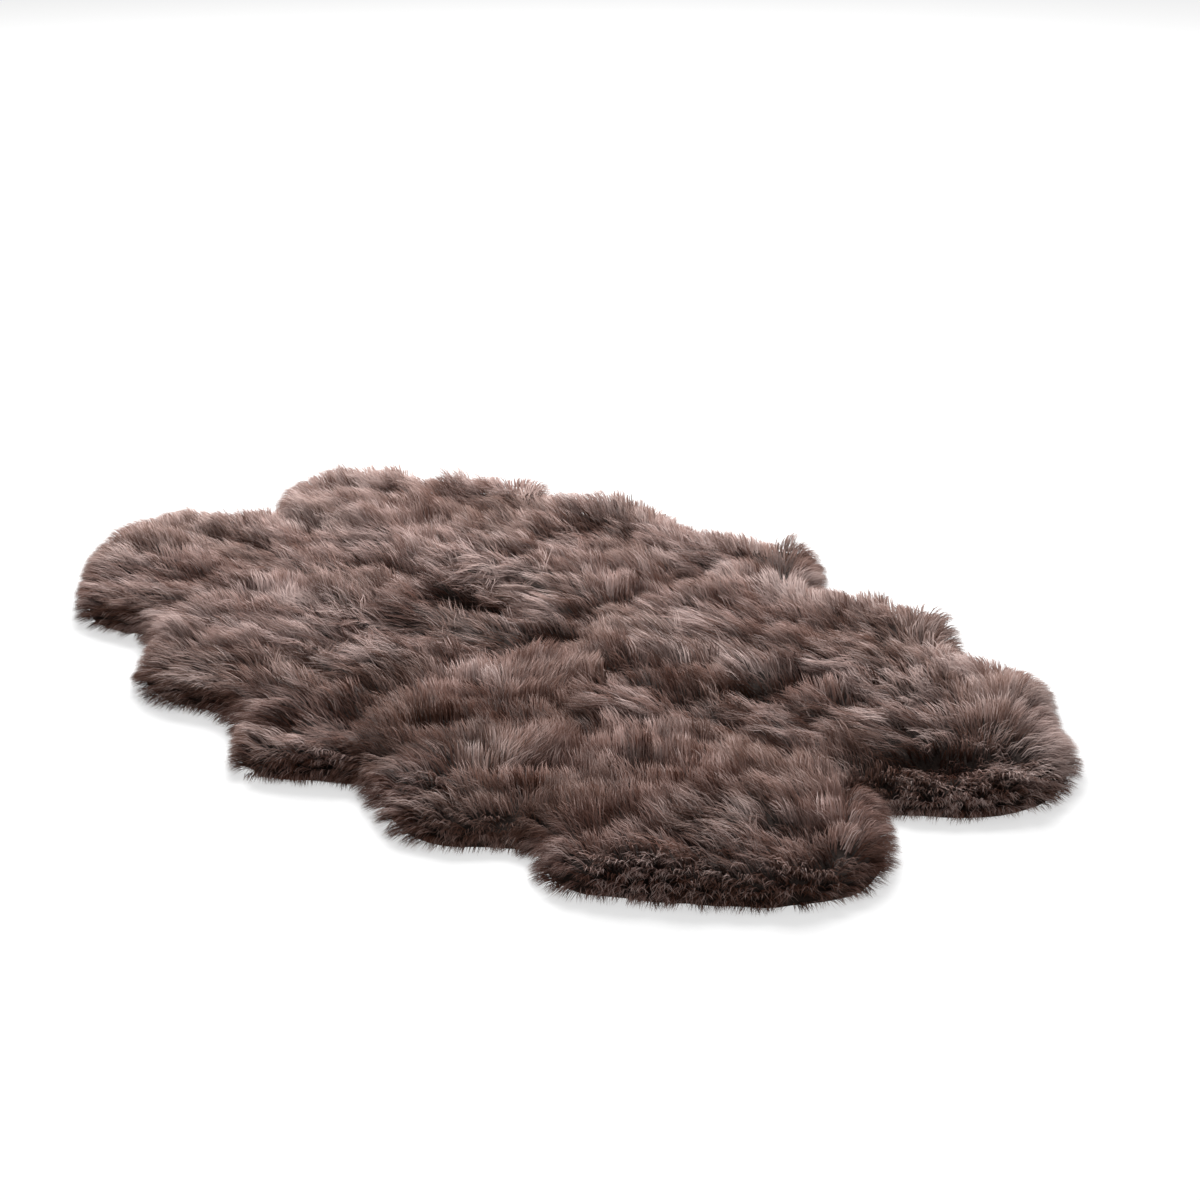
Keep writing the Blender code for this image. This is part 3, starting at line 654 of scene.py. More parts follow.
def inside(points, loop):
    """Whether each point is inside the loop, by how many of its sides a line to the right crosses."""
    x, y = points[:, 0, None], points[:, 1, None]
    (x0, y0), (x1, y1) = loop.T, np.roll(loop, -1, axis=0).T
    spans = (y0 > y) != (y1 > y)
    rise = np.where(y1 == y0, 1, y1 - y0)
    return (spans & (x < x0 + (y - y0) * (x1 - x0) / rise)).sum(axis=1) % 2 == 1


def lattice(low, high, step, shuffle, rng):
    """Places on near-even triangles over a rectangle, each moved a little off its place."""
    rows = np.arange(low[1], high[1], step * np.sqrt(3) / 2)
    columns = np.arange(low[0], high[0], step)
    x, y = np.meshgrid(columns, rows)
    x = x + (np.arange(len(rows)) % 2)[:, None] * step / 2
    points = np.column_stack([x.ravel(), y.ravel()])
    return points + rng.uniform(-shuffle, shuffle, points.shape)


def bells(points, rows):
    """Bells added up: each falls off with the squares of the shares of its reach, along and across it."""
    x, y = points.T
    total = np.zeros_like(x)
    for bell in rows:
        way = np.radians(bell.heading)
        run = (x - bell.x) * np.cos(way) + (y - bell.y) * np.sin(way)
        off = (y - bell.y) * np.cos(way) - (x - bell.x) * np.sin(way)
        total += bell.much * np.exp(-((run / bell.length) ** 2) - (off / bell.width) ** 2)
    return total


def painted_shade(points):
    """Painted light and shade in steps: the bells added up, with hollows deepened, from darkest to lightest.
    """
    shade = bells(points, PAINTED_SHADES)
    return np.clip(np.where(shade < 0, HOLLOW_GAIN * shade, shade), DARKEST, LIGHTEST)


def pile_height(points, reach):
    """Wool height: a crown over the rim, less the dip at the seams, with waves, folds and hollows on it."""
    x, y = points.T
    roll = np.clip(reach / RIM_RUN, 0, 1)
    crown = RIM_PILE + (PILE - RIM_PILE) * (1 - (1 - roll) ** 2)
    seam = np.minimum(np.abs(x), np.abs(y))
    crown = crown - SEAM_DIP * roll * np.exp(-((seam / SEAM_SPREAD) ** 2))
    turn = 2 * np.pi / WANDER_WAVE
    u = x + WANDER * np.sin(turn * y)
    v = y + WANDER * np.sin(turn * x + 1)
    waves = np.zeros_like(x)
    for wave in WAVES:
        way = np.radians(wave.heading)
        waves += np.cos(2 * np.pi / wave.length * (u * np.cos(way) + v * np.sin(way)) + wave.start)
    height = crown + TUFT_RISE * waves / len(WAVES)
    painted = painted_shade(points - HOLLOW_NEAR * floor_way(CAMERA_HEADING))
    height = height + HOLLOW_DROP * np.minimum(painted, 0) + CREST_LIFT * np.maximum(painted, 0)
    return np.maximum(height + FOLD_DEEPEN * bells(points, FOLDS), LEAST_PILE)


def new_piece(name, points, starts, corners, normals=None):
    """A mesh object at the origin from whole arrays: points, first corner of each face, and corners.

    Wool also has a normal for each point, turned towards that of the pile that it is part of."""
    mesh = bpy.data.meshes.new(name)
    mesh.vertices.add(len(points))
    world = points + np.array([CROSSING[0], CROSSING[1], 0])
    mesh.vertices.foreach_set("co", world.astype(np.float32).ravel())
    mesh.loops.add(len(corners))
    mesh.loops.foreach_set("vertex_index", corners.astype(np.int32))
    mesh.polygons.add(len(starts))
    mesh.polygons.foreach_set("loop_start", starts.astype(np.int32))
    mesh.update(calc_edges=True)
    mesh.validate()
    mesh.shade_smooth()
    if normals is not None:
        mesh.normals_split_custom_set_from_vertices(normals)
    piece = bpy.data.objects.new(name, mesh)
    bpy.context.scene.collection.objects.link(piece)
    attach(piece, BODY)
    return piece


def first_corners(sizes):
    """The first corner of each face: how many corners the faces before it have."""
    return np.concatenate([[0], np.cumsum(sizes)[:-1]])


def ring_shell(name, rings):
    """A closed shell from rings of equal counts, first ring and last ring closed by a fan to their middles.

    rings has the shape (rings, columns, 3), and runs from the underside's middle to the top's middle."""
    count, columns = rings.shape[:2]
    poles = np.array([rings[0].mean(axis=0), rings[-1].mean(axis=0)])
    points = np.vstack([rings.reshape(-1, 3), poles])
    column = np.arange(columns)
    after = (column + 1) % columns
    low = (np.arange(count - 1) * columns)[:, None]
    quads = np.stack([low + column, low + after, low + columns + after, low + columns + column], axis=-1)
    bottom = np.column_stack([np.full(columns, count * columns), after, column])
    last = (count - 1) * columns
    top = np.column_stack([last + column, last + after, np.full(columns, count * columns + 1)])
    corners = np.concatenate([quads.ravel(), bottom.ravel(), top.ravel()])
    sizes = np.concatenate([np.full(quads.size // 4, 4), np.full(2 * columns, 3)])
    return new_piece(name, points, first_corners(sizes), corners)


def even_loop(loop, count):
    """The loop at even steps, started at the crossing of the seams so that the corners stay."""
    first = np.argmin(np.abs(loop).sum(axis=1))
    run = np.vstack([np.roll(loop, -first, axis=0), loop[first]])
    length = np.concatenate([[0], np.cumsum(np.linalg.norm(np.diff(run, axis=0), axis=1))])
    even = np.linspace(0, length[-1], count, endpoint=False)
    return np.column_stack([np.interp(even, length, run[:, i]) for i in range(2)])


def shrunk(loop, share):
    """The loop drawn in towards the pelt's middle: share 1 is the loop itself and 0 its middle."""
    middle = (loop.max(axis=0) + loop.min(axis=0)) / 2
    return middle + (loop - middle) * share


def make_hide(pelt, loop):
    """Thin flat skin: the hide's loop shrunk towards its middle underneath, and back again on top."""
    edge = even_loop(loop, UNDER_COLUMNS)
    shares = np.linspace(INNERMOST, 1, HIDE_RINGS)
    under = [at_height(shrunk(edge, share), 0) for share in shares]
    over = [at_height(shrunk(edge, share), HIDE_THICK) for share in shares[::-1]]
    return ring_shell("hide_" + pelt.name, np.array(under + over))


def make_under(pelt, loop, sides):
    """Dense underwool: a lumpy body of UNDER_SHARE of the pile's height with a rounded, bulging edge."""
    edge = even_loop(loop, UNDER_COLUMNS)
    _, out = to_edge(edge, sides)
    edge = np.where(np.abs(edge) < UNDER_STRAIGHT, 0, edge)
    seam = (edge == 0).any(axis=1)
    bulge = np.where(seam[:, None], 0, out) * UNDER_BULGE
    floor = HIDE_THICK + UNDER_GAP
    rings = [at_height(shrunk(edge, share), floor) for share in UNDER_FLOOR]
    rim_height = UNDER_SHARE * UNDER_EDGE * pile_height(edge, np.zeros(len(edge)))
    for share, rise in UNDER_SIDE:
        rings.append(at_height(edge + bulge * share, np.maximum(floor + UNDER_LEAST, rim_height * rise)))
    for share in np.linspace(UNDER_TOP, INNERMOST, UNDER_RINGS):
        place = shrunk(edge, share)
        reach, _ = to_edge(place, sides)
        drawn_in = np.clip(UNDER_DRAWN + UNDER_FILL * reach / RIM_ROLL, UNDER_DRAWN, 1)
        lumps = drifts(place, UNDER_DRIFTS, 1)
        rings.append(at_height(place, UNDER_SHARE * drawn_in * pile_height(place, reach) * lumps))
    return ring_shell("underwool_" + pelt.name, np.array(rings))


def combed(points):
    """The way the tips point at each place, and the lean, curl and shade there.

    Each combed place pulls with a weight that falls off as a bell over its reach, against the base lay's
    even weight. Where ways cancel out, the wool stands upright."""
    rows = [*COMBS, BASE_COMB]
    middle = np.array([(comb.x, comb.y) for comb in COMBS])
    reach = np.array([comb.reach for comb in COMBS])
    apart = np.linalg.norm(points[:, None] - middle, axis=-1)
    weight = np.column_stack([np.exp(-((apart / reach) ** 2)), np.full(len(points), BASE_WEIGHT)])
    weight /= weight.sum(axis=1)[:, None]
    way = weight @ floor_way([comb.heading for comb in rows])
    lean, curl, shade = (weight @ np.array([(comb.lean, comb.curl, comb.shade) for comb in rows])).T
    agreed = np.linalg.norm(way, axis=1)
    return turned(unit(way), drifts(points, WAY_DRIFTS)), lean * agreed, curl, shade


def stringy_share(lean, curl):
    """How much the wool there hangs in strands, from 0 where it is even to 1: where it curls or lies flat."""
    return np.clip(STRINGY_CURL * curl + STRINGY_LEAN * (lean - STRINGY_FROM), 0, 1)


def lock_roots(loop, sides, rng):
    """Roots on a lattice over the hide, with further lattices near the edge, their distance from it, and the
    way out there."""
    low, high = loop.min(axis=0), loop.max(axis=0)
    roots, distances, outs = [], [], []
    for reach in (np.inf, *RIM_LATTICES):
        points = lattice(low, high, LOCK_STEP, LOCK_SHUFFLE, rng)
        points = points[inside(points, loop)]
        distance, out = to_edge(points, sides)
        near = distance < reach
        roots.append(points[near])
        distances.append(distance[near])
        outs.append(out[near])
    return np.vstack(roots), np.concatenate(distances), np.vstack(outs)


def tufts_of(root):
    """Each root's tuft on a shuffled lattice, as a turn, lean, shade and lift, and how near its border is."""
    centres = lattice(*TUFT_AREA, TUFT_STEP, TUFT_SHUFFLE, np.random.default_rng(TUFT_PLACE_SEED))
    draws = np.random.default_rng(TUFT_SEED).uniform(-1, 1, (len(centres), 4))
    warp = np.column_stack([drift(root, TUFT_WARP_SIZE, seed) for seed in TUFT_WARP_SEEDS])
    apart = np.linalg.norm((root + TUFT_WARP * warp)[:, None] - centres, axis=-1)
    nearest = np.partition(apart, 1, axis=1)[:, :2]
    border = 1 - np.clip((nearest[:, 1] - nearest[:, 0]) / (TUFT_STEP * TUFT_BORDER), 0, 1)
    return draws[apart.argmin(axis=1)].T, border


def wool_height(root, distance):
    """Height of the wool: the pile, higher or lower by tuft and lump, and drawn in between tufts."""
    (_, _, _, lift), border = tufts_of(root)
    _, lean, curl, _ = combed(root)
    parted = in_strands(PARTED, stringy_share(lean, curl)) * border**2
    share = WOOL_TOP + TUFT_LIFT * lift + drifts(root, LUMP_DRIFTS) - TUFT_DROP * parted
    return pile_height(root, distance + OVERHANG) * share


def wool_normals(root, distance, out, height, rim, roll):
    """Normals of the wool's top: across the slope of its height, and turned outwards over the edge."""
    slopes = []
    for axis in (0, 1):
        moved = root.copy()
        moved[:, axis] += SLOPE_STEP
        there = wool_height(moved, np.maximum(distance - out[:, axis] * SLOPE_STEP, 0))
        slopes.append((there - height) / SLOPE_STEP * SLOPE_GAIN)
    flat = unit(np.column_stack([-slopes[0], -slopes[1], np.ones(len(root))]))
    over = at_height(out * np.cos(roll)[:, None], np.maximum(np.sin(roll), RIM_UP))
    return unit((1 - rim[:, None]) * flat + rim[:, None] * over)


def grow_locks(pelt, loop, sides, rng):
    """Locks of one pelt, as a dict of arrays with a row for each lock.

    A lock runs along a quadratic curve from its root up to a bend and over to its tip. In the field it
    leans with its combed place and its tuft. Near the edge it turns outwards, and the nearer its root is
    to the edge, the further it rolls over, by the sine of its roll, and the lower it hangs."""
    root, distance, out = lock_roots(loop, sides, rng)
    count = len(root)
    rim = eased(np.clip(1 - distance / RIM_BAND, 0, 1))
    roll = np.radians(RIM_LEAST + (90 - RIM_LEAST) * np.clip(distance / RIM_ROLL, 0, 1))
    low = np.clip(1 - LOW_STEEP * np.sin(roll), 0, 1)
    kept = facing(out, KEPT_HEADING)
    (tuft_turn, tuft_lean, tuft_shade, _), border = tufts_of(root)
    way, lean, curl, _ = combed(root)
    stringy = stringy_share(lean, curl)

    swirl = SWIRL * curl * drifts(root, SWIRL_DRIFTS) + STRAY_TURN * drifts(root, STRAY_DRIFTS)
    own_turn = rng.normal(0, 1, count) * LOCK_TURN * (1 + CURL_TURN * curl)
    way = turned(way, TUFT_TURN * tuft_turn + swirl + own_turn)
    outward = turned(out, rng.normal(0, RIM_TURN, count))
    pull = RIM_PULL * rim * (1 - KEPT_LAY * kept)
    way = unit((1 - (1 - KEPT_WAY * kept) * rim)[:, None] * way + pull[:, None] * outward)

    lean = np.maximum(lean * drifts(root, LEAN_DRIFTS, 1) + TUFT_LEAN * tuft_lean, LEAST_LEAN)
    lean = lean + rng.normal(0, LOCK_LEAN, count)
    top = wool_height(root, distance)
    height = top * (1 + rng.normal(0, LOCK_HEIGHT, count) + KEPT_RISE * kept * rim)
    overhang = OVERHANG * np.cos(roll) * rng.uniform(*RIM_REACHES, count) * (1 - LOW_DRAWN * low)
    for heading, power, share in REACHES:
        overhang *= 1 + share * facing(out, heading) ** power
    over = np.minimum(distance, RIM_ROLL) + overhang
    travel = (1 - rim) * lean * pile_height(root, distance + OVERHANG) + rim * over
    laid = 1 - LAID_LOWER * np.maximum(lean - LAID_FROM, 0) * (1 - rim)
    tip_height = height * laid * np.sin(roll) * rng.uniform(*TIP_HEIGHTS, count)
    bend_out = way * (travel * (BEND_OUT + BEND_OUT_RIM * rim))[:, None]
    bend_height = (1 - rim) * BEND_UP * height * laid + rim * (tip_height + RIM_DROOP)

    # Painted light and shade of combed places and folds, taken where the camera sees the lock on the plan
    raised = (SEEN_UP * tip_height - SEEN_HEIGHT) / np.tan(np.radians(CAMERA_DOWN))
    behind = raised[:, None] * floor_way(CAMERA_HEADING)
    seen = root + way * (SEEN_OUT * travel)[:, None] + behind
    shade = COMB_SHADE * combed(seen)[3] + bells(seen, FOLDS) / FOLD_SHADE
    # Painted shade in the parting at a tuft's border
    dark_border = in_strands(BORDER_SHADE, stringy) * border
    shade = shade + TUFT_SHADE * tuft_shade - dark_border + STRINGY_SHADE * stringy
    shade = drifts(root, LOCK_SHADE_DRIFTS, shade)
    shade = shade + rng.normal(0, 1, count) * in_strands(SHADE_SPREAD, stringy)
    even = (1 - rim) * (1 - np.clip(EVEN_ENDS * stringy, 0, 1))

    clump = np.clip(in_strands(CLUMP, stringy) + drifts(root, CLUMP_DRIFTS), *CLUMP_RANGE)
    # Glow is painted light: over the roll, more on edges that face the soft box, and in even wool
    glow = rim * np.clip(GLOW_SOON * np.sin(roll), 0, 1) * (1 + KEPT_GLOW * kept) + GLOW_EVEN * even
    return {
        "start": at_height(root, HIDE_THICK),
        "bend": at_height(root + bend_out, bend_height),
        "tip": at_height(root + way * travel[:, None], tip_height),
        "way": way,
        "rim": rim,
        "low": low,
        "stringy": stringy,
        "curl": np.clip(curl + drifts(root, CURL_DRIFTS), 0, 1),
        "clump": clump * (1 - CLUMP_LESS * rim - CLUMP_LESS * low - CLUMP_LESS * kept * rim),
        "shade": shade - EVEN_SHADE * even + pelt.shade,
        "blush": np.clip(0.5 + drifts(root, BLUSH_DRIFTS), 0, 1),
        "glow": glow,
        "behind": behind,
        "normal": wool_normals(root, distance, out, top, rim, roll),
    }


def grow_wisps(locks, chosen, per_lock, kind, rng):
    """Wisps of the chosen locks: centres of sections, side and ridge ways, half widths, shade, blush, pile
    normal and glow.

    A wisp follows its lock's curve, set off from it by its place in the lock, and the offset closes
    towards the tip by the lock's clump. A curl swings it aside with the third power of its length, so
    that the tip is a hook, nearly the same way for all of a lock."""
    lock = np.repeat(chosen, per_lock)
    own = {what: values[lock] for what, values in locks.items()}
    count = len(lock)
    number = np.tile(np.arange(per_lock), len(chosen))
    angle = number * GOLDEN_TURN + np.repeat(rng.uniform(0, 2 * np.pi, len(chosen)), per_lock)
    radius = LOCK_RADIUS * np.sqrt((number + rng.uniform(*WISP_PLACES, count)) / per_lock)
    off = np.column_stack([np.cos(angle), np.sin(angle)]) * radius[:, None]
    way, rim = own["way"], own["rim"]
    ahead = (off * way).sum(axis=1) * RIM_EVEN * np.minimum(RIM_EVEN_SOON * rim, 1)
    off = at_height(off - ahead[:, None] * way, 0)
    clump = own["clump"][:, None]
    loose = in_strands(LOOSE, own["stringy"]) * (1 - LOOSE_RIM * rim)
    stray = rng.normal(0, 1, (count, 3)) * STRAY_WAYS * (loose * kind.stray)[:, None] * MM

    start = own["start"] + off
    bend = own["bend"] + off * (1 - BEND_CLUMP * clump)
    tip = own["tip"] + off * (1 - clump) + stray
    reach = 1 + (rng.uniform(kind.least, kind.most, count) - 1) * loose * STRAY_LENGTH - kind.short * rim
    tip = bend + (tip - bend) * reach[:, None]
    tip[:, 2] = np.clip(tip[:, 2], LOWEST_TIP, HIGHEST_TIP)
    s = np.array(kind.path)[None, :, None]
    centre = (1 - s) ** 2 * start[:, None] + 2 * s * (1 - s) * bend[:, None] + s**2 * tip[:, None]
    along = unit(2 * (1 - s) * (bend - start)[:, None] + 2 * s * (tip - bend)[:, None])
    left = np.column_stack([-way[:, 1], way[:, 0]])
    across = at_height(turned(left, rng.normal(0, WISP_ROLL, count)), 0)
    ridge = unit(np.cross(along, across[:, None]))
    across = unit(np.cross(ridge, along))

    curl = own["curl"] * rng.uniform(*HOOK_RANGE, count) * HOOK * (1 - HOOK_LESS * own["low"])
    phase = np.repeat(rng.uniform(0, 2 * np.pi, len(chosen)), per_lock) + rng.normal(0, HOOK_SPREAD, count)
    phase = phase[:, None, None] + 2 * np.pi * HOOK_TURNS * s
    swing = curl[:, None, None] * s**3
    lifted = HOOK_FLAT * (1 - HOOK_LESS * rim)[:, None, None] * np.sin(phase)
    centre = centre + swing * (np.cos(phase) * across + lifted * ridge)
    centre[:, :, 2] = np.clip(centre[:, :, 2], LOWEST_RING, HIGHEST_TIP)
    size = rng.uniform(*WISP_WIDTHS, count)[:, None] * np.array(kind.widths) * MM

    varied = WISP_SHADE + STRINGY_WISP_SHADE * own["stringy"] * (1 + RIM_WISP_SHADE * rim)
    shade = own["shade"] + rng.normal(0, 1, count) * varied + drifts(start[:, :2], WISP_SHADE_DRIFTS)
    # Painted shade of hollows and painted light of crests, at each section where the camera sees it on the
    # plan
    seen = centre[:, :, :2] + own["behind"][:, None]
    painted = painted_shade(seen.reshape(-1, 2)).reshape(count, -1)
    shade = np.minimum(shade[:, None] + painted, MOST_SHADE)
    normal = unit(own["normal"] + rng.normal(0, WISP_NORMAL, (count, 3)))
    return centre, across, ridge, size, shade, own["blush"], normal, own["glow"]


def wisp_template(rings):
    """Faces of one wisp of three sides: its root cap, quads between rings, and triangles to the tip.

    Returns corner numbers, face sizes, and for each corner its column round the wisp and its row."""
    corners, sizes, columns, rows = [2, 1, 0], [3], [*CAP_COLUMNS], [*CAP_ROWS]
    for ring in range(rings - 1):
        for side in range(3):
            after = (side + 1) % 3
            low = ring * 3
            corners += [low + side, low + after, low + 3 + after, low + 3 + side]
            columns += [side, side + 1, side + 1, side]
            rows += [ring, ring, ring + 1, ring + 1]
            sizes.append(4)
    last = (rings - 1) * 3
    for side in range(3):
        corners += [last + side, last + (side + 1) % 3, rings * 3]
        columns += [side, side + 1, side + 0.5]
        rows += [rings - 1, rings - 1, rings]
        sizes.append(3)
    return np.array(corners), np.array(sizes), np.array(columns), np.array(rows)


def wisp_arrays(wisps, path):
    """Arrays of a set of wisps with equal sections, with how many wisps it has.

    A section is a triangle of a point to each side of its centre and one on the ridge, and the last
    section is the tip alone. Along runs from 0 at the root to 1 at the tip, and starts higher where the
    wool glows, with painted light that lifts the dark of the roots. Columns and rows are places on a wisp's
    map, from 0 to 1."""
    centre, across, ridge, size, shade, blush, normal, glow = wisps
    count, rings = size.shape
    middle = centre[:, :rings]
    wide = across[:, :rings] * size[..., None]
    high = ridge[:, :rings] * size[..., None] * RIDGE_SHARE
    ring = np.stack([middle + wide, middle + high, middle - wide], axis=2)
    points = np.concatenate([ring.reshape(count, rings * 3, 3), centre[:, rings:]], axis=1)
    around = np.stack([SIDE_RIDGE * ridge + across, ridge, SIDE_RIDGE * ridge - across], axis=2)[:, :rings]
    around = np.concatenate([around.reshape(count, rings * 3, 3), normal[:, None]], axis=1)
    normals = unit(PILE_NORMAL * normal[:, None] + (1 - PILE_NORMAL) * unit(around))
    corners, sizes, columns, rows = wisp_template(rings)
    each = rings * 3 + 1
    along = np.concatenate([np.repeat(path[:rings], 3), path[rings:]])
    along = 1 - (1 - along) * (1 - RIM_LIGHT * glow[:, None])
    shade = np.concatenate([np.repeat(shade[:, :rings], 3, axis=1), shade[:, rings:]], axis=1)
    floor = min(CAP_ROWS)
    return count, {
        "points": points.reshape(-1, 3),
        "normals": normals.reshape(-1, 3),
        "along": along.ravel(),
        "shade": shade.ravel(),
        "blush": np.repeat(blush, each),
        "corners": (corners + (np.arange(count) * each)[:, None]).ravel(),
        "sizes": np.tile(sizes, count),
        "wisp": np.repeat(np.arange(count), len(corners)),
        "columns": np.tile(columns / 3, count),
        "rows": np.tile((rows - floor) / (rings - floor), count),
    }


def make_wool(name, sets, rng):
    """One piece of wool from its sets of wisps, with two maps.

    The first gives each wisp a cell of its own. On the second, fibres run along each wisp, and each starts
    at a place of its own on the pattern."""
    points = wisps = 0
    for count, arrays in sets:
        arrays["corners"] += points
        arrays["wisp"] += wisps
        points += len(arrays["points"])
        wisps += count
    wool = {what: np.concatenate([arrays[what] for _, arrays in sets]) for what in sets[0][1]}
    starts = first_corners(wool["sizes"])
    piece = new_piece(name, wool["points"], starts, wool["corners"], wool["normals"])
    mesh = piece.data
    for attribute in ("along", "shade", "blush"):
        values = wool[attribute].astype(np.float32)
        mesh.attributes.new(attribute, "FLOAT", "POINT").data.foreach_set("value", values)
    wide = int(np.ceil(np.sqrt(wisps * CELL_TALL)))
    tall = int(np.ceil(wisps / wide))
    wisp, columns, rows = wool["wisp"], wool["columns"], wool["rows"]
    cell_u = (wisp % wide + CELL_WIDTH[0] + CELL_WIDTH[1] * columns) / wide
    cell_v = (wisp // wide + CELL_HEIGHT[0] + CELL_HEIGHT[1] * rows) / tall
    start = rng.uniform(0, FIBRE_STARTS, wisps)[wisp]
    maps = {"OFBake": (cell_u, cell_v), "Fibre": (columns + start, rows + start * FIBRE_APART)}
    for title, places in maps.items():
        layer = mesh.uv_layers.new(name=title)
        layer.uv.foreach_set("vector", np.column_stack(places).astype(np.float32).ravel())
    mesh.uv_layers.active = mesh.uv_layers["OFBake"]
    return piece


def new_material(name):
    """A material with its node tree, and the Principled shader that feeds its output."""
    material = bpy.data.materials.new(name)
    material.use_nodes = True
    tree = material.node_tree
    return material, tree, tree.nodes["Principled BSDF"]


def feed(tree, node, inputs):
    """Sets a value on, or a link to, each named input of a node."""
    for key, value in inputs.items():
        if isinstance(value, bpy.types.NodeSocket):
            tree.links.new(value, node.inputs[key])
        else:
            node.inputs[key].default_value = value


def add(tree, kind, inputs=None, **settings):
    """Adds a node with its settings, and with a value or a link for each of its inputs."""
    node = tree.nodes.new(kind)
    for key, value in settings.items():
        setattr(node, key, value)
    feed(tree, node, inputs or {})
    return node


def set_ramp(node, stops):
    """Sets a colour ramp's stops from rows of place and hex colour."""
    elements = node.color_ramp.elements
    while len(elements) < len(stops):
        elements.new(0.5)
    for element, (place, colour) in zip(elements, stops):
        element.position = place
        element.color = linear(colour)


def wool_material():
    """Dyed long wool: matt scales on each fibre scatter light softly, and the dye takes less at the tips,
    which are a dusty taupe. The dark brown at the root is painted shade, for the shade deep in the pile.

    A fibre is some 0.03 mm thick, too fine to show, so a wisp of 2 mm has nine soft streaks round it.
    Shade lightens or darkens a wisp with painted light, painted shade and the wool's own tone, and the darker
    it is, the more saturated its brown, as light that has scattered deep in wool is. Blush turns some places a
    little pinker."""
    material, tree, shader = new_material("dyed_long_wool")
    along, shade, blush = (
        add(tree, "ShaderNodeAttribute", attribute_name=name).outputs["Fac"]
        for name in ("along", "shade", "blush")
    )
    ramp = add(tree, "ShaderNodeValToRGB", {"Fac": along})
    # The dark root of the ramp is painted shade deep in the pile, the lighter tip the wool's own
    set_ramp(ramp, ((0.22, "#2c1a16"), (0.50, "#58423b"), (0.80, "#795f57"), (1.0, "#937a72")))
    pink = add(tree, "ShaderNodeMix", {
        "Factor": blush, "A": (1.0, 1.0, 0.99, 1), "B": (1.015, 0.98, 0.985, 1),
    }, data_type="RGBA")
    tinted = add(tree, "ShaderNodeMix", {
        "Factor": 1.0, "A": ramp.outputs["Color"], "B": pink.outputs["Result"],
    }, data_type="RGBA", blend_type="MULTIPLY")
    fibre = add(tree, "ShaderNodeUVMap", uv_map="Fibre")
    stretch = add(tree, "ShaderNodeMapping", {"Vector": fibre.outputs["UV"], "Scale": (9.0, 0.9, 1.0)})
    streak = add(tree, "ShaderNodeTexNoise", {
        "Vector": stretch.outputs["Vector"], "Scale": 1.0, "Detail": 2.0, "Roughness": 0.6,
    }, noise_dimensions="2D")
    streaks = add(tree, "ShaderNodeMapRange", {
        "Value": streak.outputs["Fac"], "From Min": 0.3, "From Max": 0.7, "To Min": 0.84, "To Max": 1.16,
    })
    # The shade attribute paints light and shade into the brightness, and into the saturation below
    level = add(tree, "ShaderNodeMath", {0: SHADE_BASE, 1: shade}, operation="POWER")
    value = add(tree, "ShaderNodeMath", {
        0: streaks.outputs["Result"], 1: level.outputs["Value"],
    }, operation="MULTIPLY")
    depth = add(tree, "ShaderNodeMapRange", {
        "Value": shade, "From Min": -1.5, "From Max": 1.0, "To Min": 1.70, "To Max": 0.66,
    })
    final = add(tree, "ShaderNodeHueSaturation", {
        "Color": tinted.outputs["Result"], "Value": value.outputs["Value"],
        "Saturation": depth.outputs["Result"],
    })
    bump = add(tree, "ShaderNodeBump", {
        "Height": streak.outputs["Fac"], "Strength": 0.35, "Distance": 0.3 * MM,
    })
    feed(tree, shader, {
        "Base Color": final.outputs["Color"], "Normal": bump.outputs["Normal"],
        "Roughness": 0.55, "IOR": 1.55, "Specular IOR Level": 0.10,
        "Sheen Weight": 0.08, "Sheen Roughness": 0.45, "Sheen Tint": linear("#f2d8cc"),
    })
    return material


def under_material():
    """Dense underwool: felted crimp of 4 mm near the skin, painted deep brown for the shade there, as little
    light reaches it.
    """
    material, tree, shader = new_material("felted_underwool")
    place = add(tree, "ShaderNodeTexCoord")
    noise = add(tree, "ShaderNodeTexNoise", {
        "Vector": place.outputs["Object"], "Scale": 1 / (4 * MM), "Detail": 4.0, "Roughness": 0.65,
    })
    ramp = add(tree, "ShaderNodeValToRGB", {"Fac": noise.outputs["Fac"]})
    set_ramp(ramp, ((0.30, "#1a1210"), (0.70, "#352821")))
    bump = add(tree, "ShaderNodeBump", {"Height": noise.outputs["Fac"], "Strength": 0.8, "Distance": 2 * MM})
    feed(tree, shader, {
        "Base Color": ramp.outputs["Color"], "Normal": bump.outputs["Normal"],
        "Roughness": 0.9, "Specular IOR Level": 0.2,
    })
    return material


def hide_material():
    """Tanned suede side of the skin: pale buff with a fine nap, cloudy where the tanning took unevenly.

    The clouds are 90 mm wide. The nap of suede is finer than its 1.2 mm here, which it needs to show."""
    material, tree, shader = new_material("tanned_suede")
    place = add(tree, "ShaderNodeTexCoord")
    clouds = add(tree, "ShaderNodeTexNoise", {
        "Vector": place.outputs["Object"], "Scale": 1 / (90 * MM), "Detail": 3.0, "Roughness": 0.55,
    })
    nap = add(tree, "ShaderNodeTexNoise", {
        "Vector": place.outputs["Object"], "Scale": 1 / (1.2 * MM), "Detail": 4.0, "Roughness": 0.7,
    })
    mixed = add(tree, "ShaderNodeMix", {
        "Factor": 0.35, "A": clouds.outputs["Fac"], "B": nap.outputs["Fac"],
    }, data_type="FLOAT")
    ramp = add(tree, "ShaderNodeValToRGB", {"Fac": mixed.outputs["Result"]})
    set_ramp(ramp, ((0.32, "#a58a72"), (0.68, "#cbb49c")))
    bump = add(tree, "ShaderNodeBump", {"Height": nap.outputs["Fac"], "Strength": 0.4, "Distance": 0.3 * MM})
    feed(tree, shader, {
        "Base Color": ramp.outputs["Color"], "Normal": bump.outputs["Normal"],
        "Roughness": 0.85, "Sheen Weight": 0.3,
    })
    return material


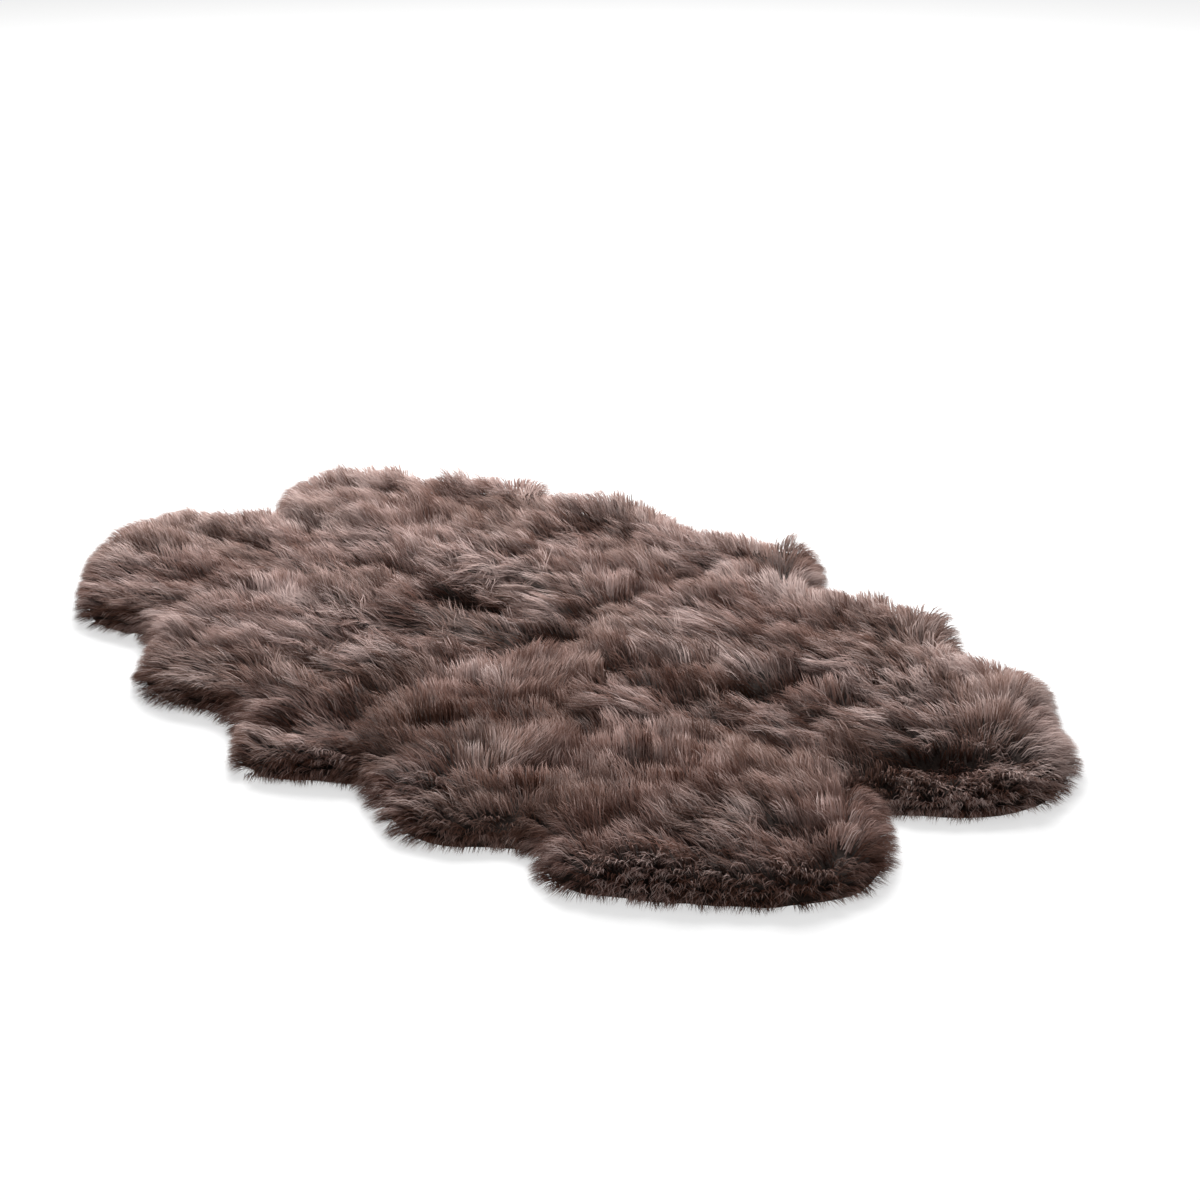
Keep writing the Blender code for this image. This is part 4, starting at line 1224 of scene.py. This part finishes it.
def make_pelt(pelt, wool, under, hide):
    """All pieces of one pelt: its hide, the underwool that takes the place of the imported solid, and the wool
    of its field and its rim."""
    loop = hide_loop(pelt.node)
    sides = natural_sides(loop)
    rng = np.random.default_rng(pelt.seed)
    skin = make_hide(pelt, loop)
    skin.data.materials.append(hide)
    body = make_under(pelt, loop, sides)
    body.data.materials.append(under)
    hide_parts(pelt.node)
    locks = grow_locks(pelt, loop, sides, rng)
    at_rim = locks["rim"] > RIM_FROM
    strands = locks["stringy"] + rng.normal(0, STRAND_SPREAD, len(at_rim)) > STRAND_FROM
    curly_rim = at_rim & strands & (locks["low"] == 0)
    for what, groups in (
        ("field", ((~at_rim & ~strands, EVEN_KINDS), (~at_rim & strands, STRAND_KINDS))),
        ("rim", ((at_rim & ~curly_rim, RIM_KINDS), (curly_rim, STRAND_KINDS))),
    ):
        sets = [
            wisp_arrays(grow_wisps(locks, np.flatnonzero(chosen), per_lock, kind, rng), kind.path)
            for chosen, kinds in groups for kind, per_lock in kinds
        ]
        piece = make_wool(f"wool_{what}_{pelt.name}", sets, rng)
        piece.data.materials.append(wool)


def make_floor():
    """A plain pale floor, far wider than the view, and matt, so that it mirrors nothing."""
    corners = [(x * FLOOR_REACH, y * FLOOR_REACH, 0) for x, y in ((-1, -1), (1, -1), (1, 1), (-1, 1))]
    mesh = bpy.data.meshes.new("floor")
    mesh.from_pydata(corners, [], [(0, 1, 2, 3)])
    floor = bpy.data.objects.new("floor", mesh)
    bpy.context.scene.collection.objects.link(floor)
    material, tree, shader = new_material("pale_floor")
    feed(tree, shader, {
        "Base Color": FLOOR_COLOUR, "Roughness": 0.9, "Specular IOR Level": 0.1,
        "Emission Color": WHITE, "Emission Strength": FLOOR_GLOW,
    })
    mesh.materials.append(material)


def make_light():
    """Soft studio light: a white dome, and a large soft box high up behind the rug's left end."""
    world = bpy.data.worlds.new("studio")
    world.use_nodes = True
    tree = world.node_tree
    feed(tree, tree.nodes["Background"], {"Color": WHITE, "Strength": DOME_STRENGTH})
    bpy.context.scene.world = world
    data = bpy.data.lights.new("soft_box", "AREA")
    data.shape = "RECTANGLE"
    data.size, data.size_y = BOX_SIDES
    data.energy = BOX_POWER
    place = np.array(BOX_PLACE)
    stand(bpy.data.objects.new("soft_box", data), place, unit(-place))


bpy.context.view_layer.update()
CROSSING = seam_crossing()
place_camera()
bpy.context.scene.view_settings.view_transform = "Standard"
make_floor()
make_light()
WOOL = wool_material()
UNDER = under_material()
HIDE = hide_material()
for pelt in PELTS:
    make_pelt(pelt, WOOL, UNDER, HIDE)
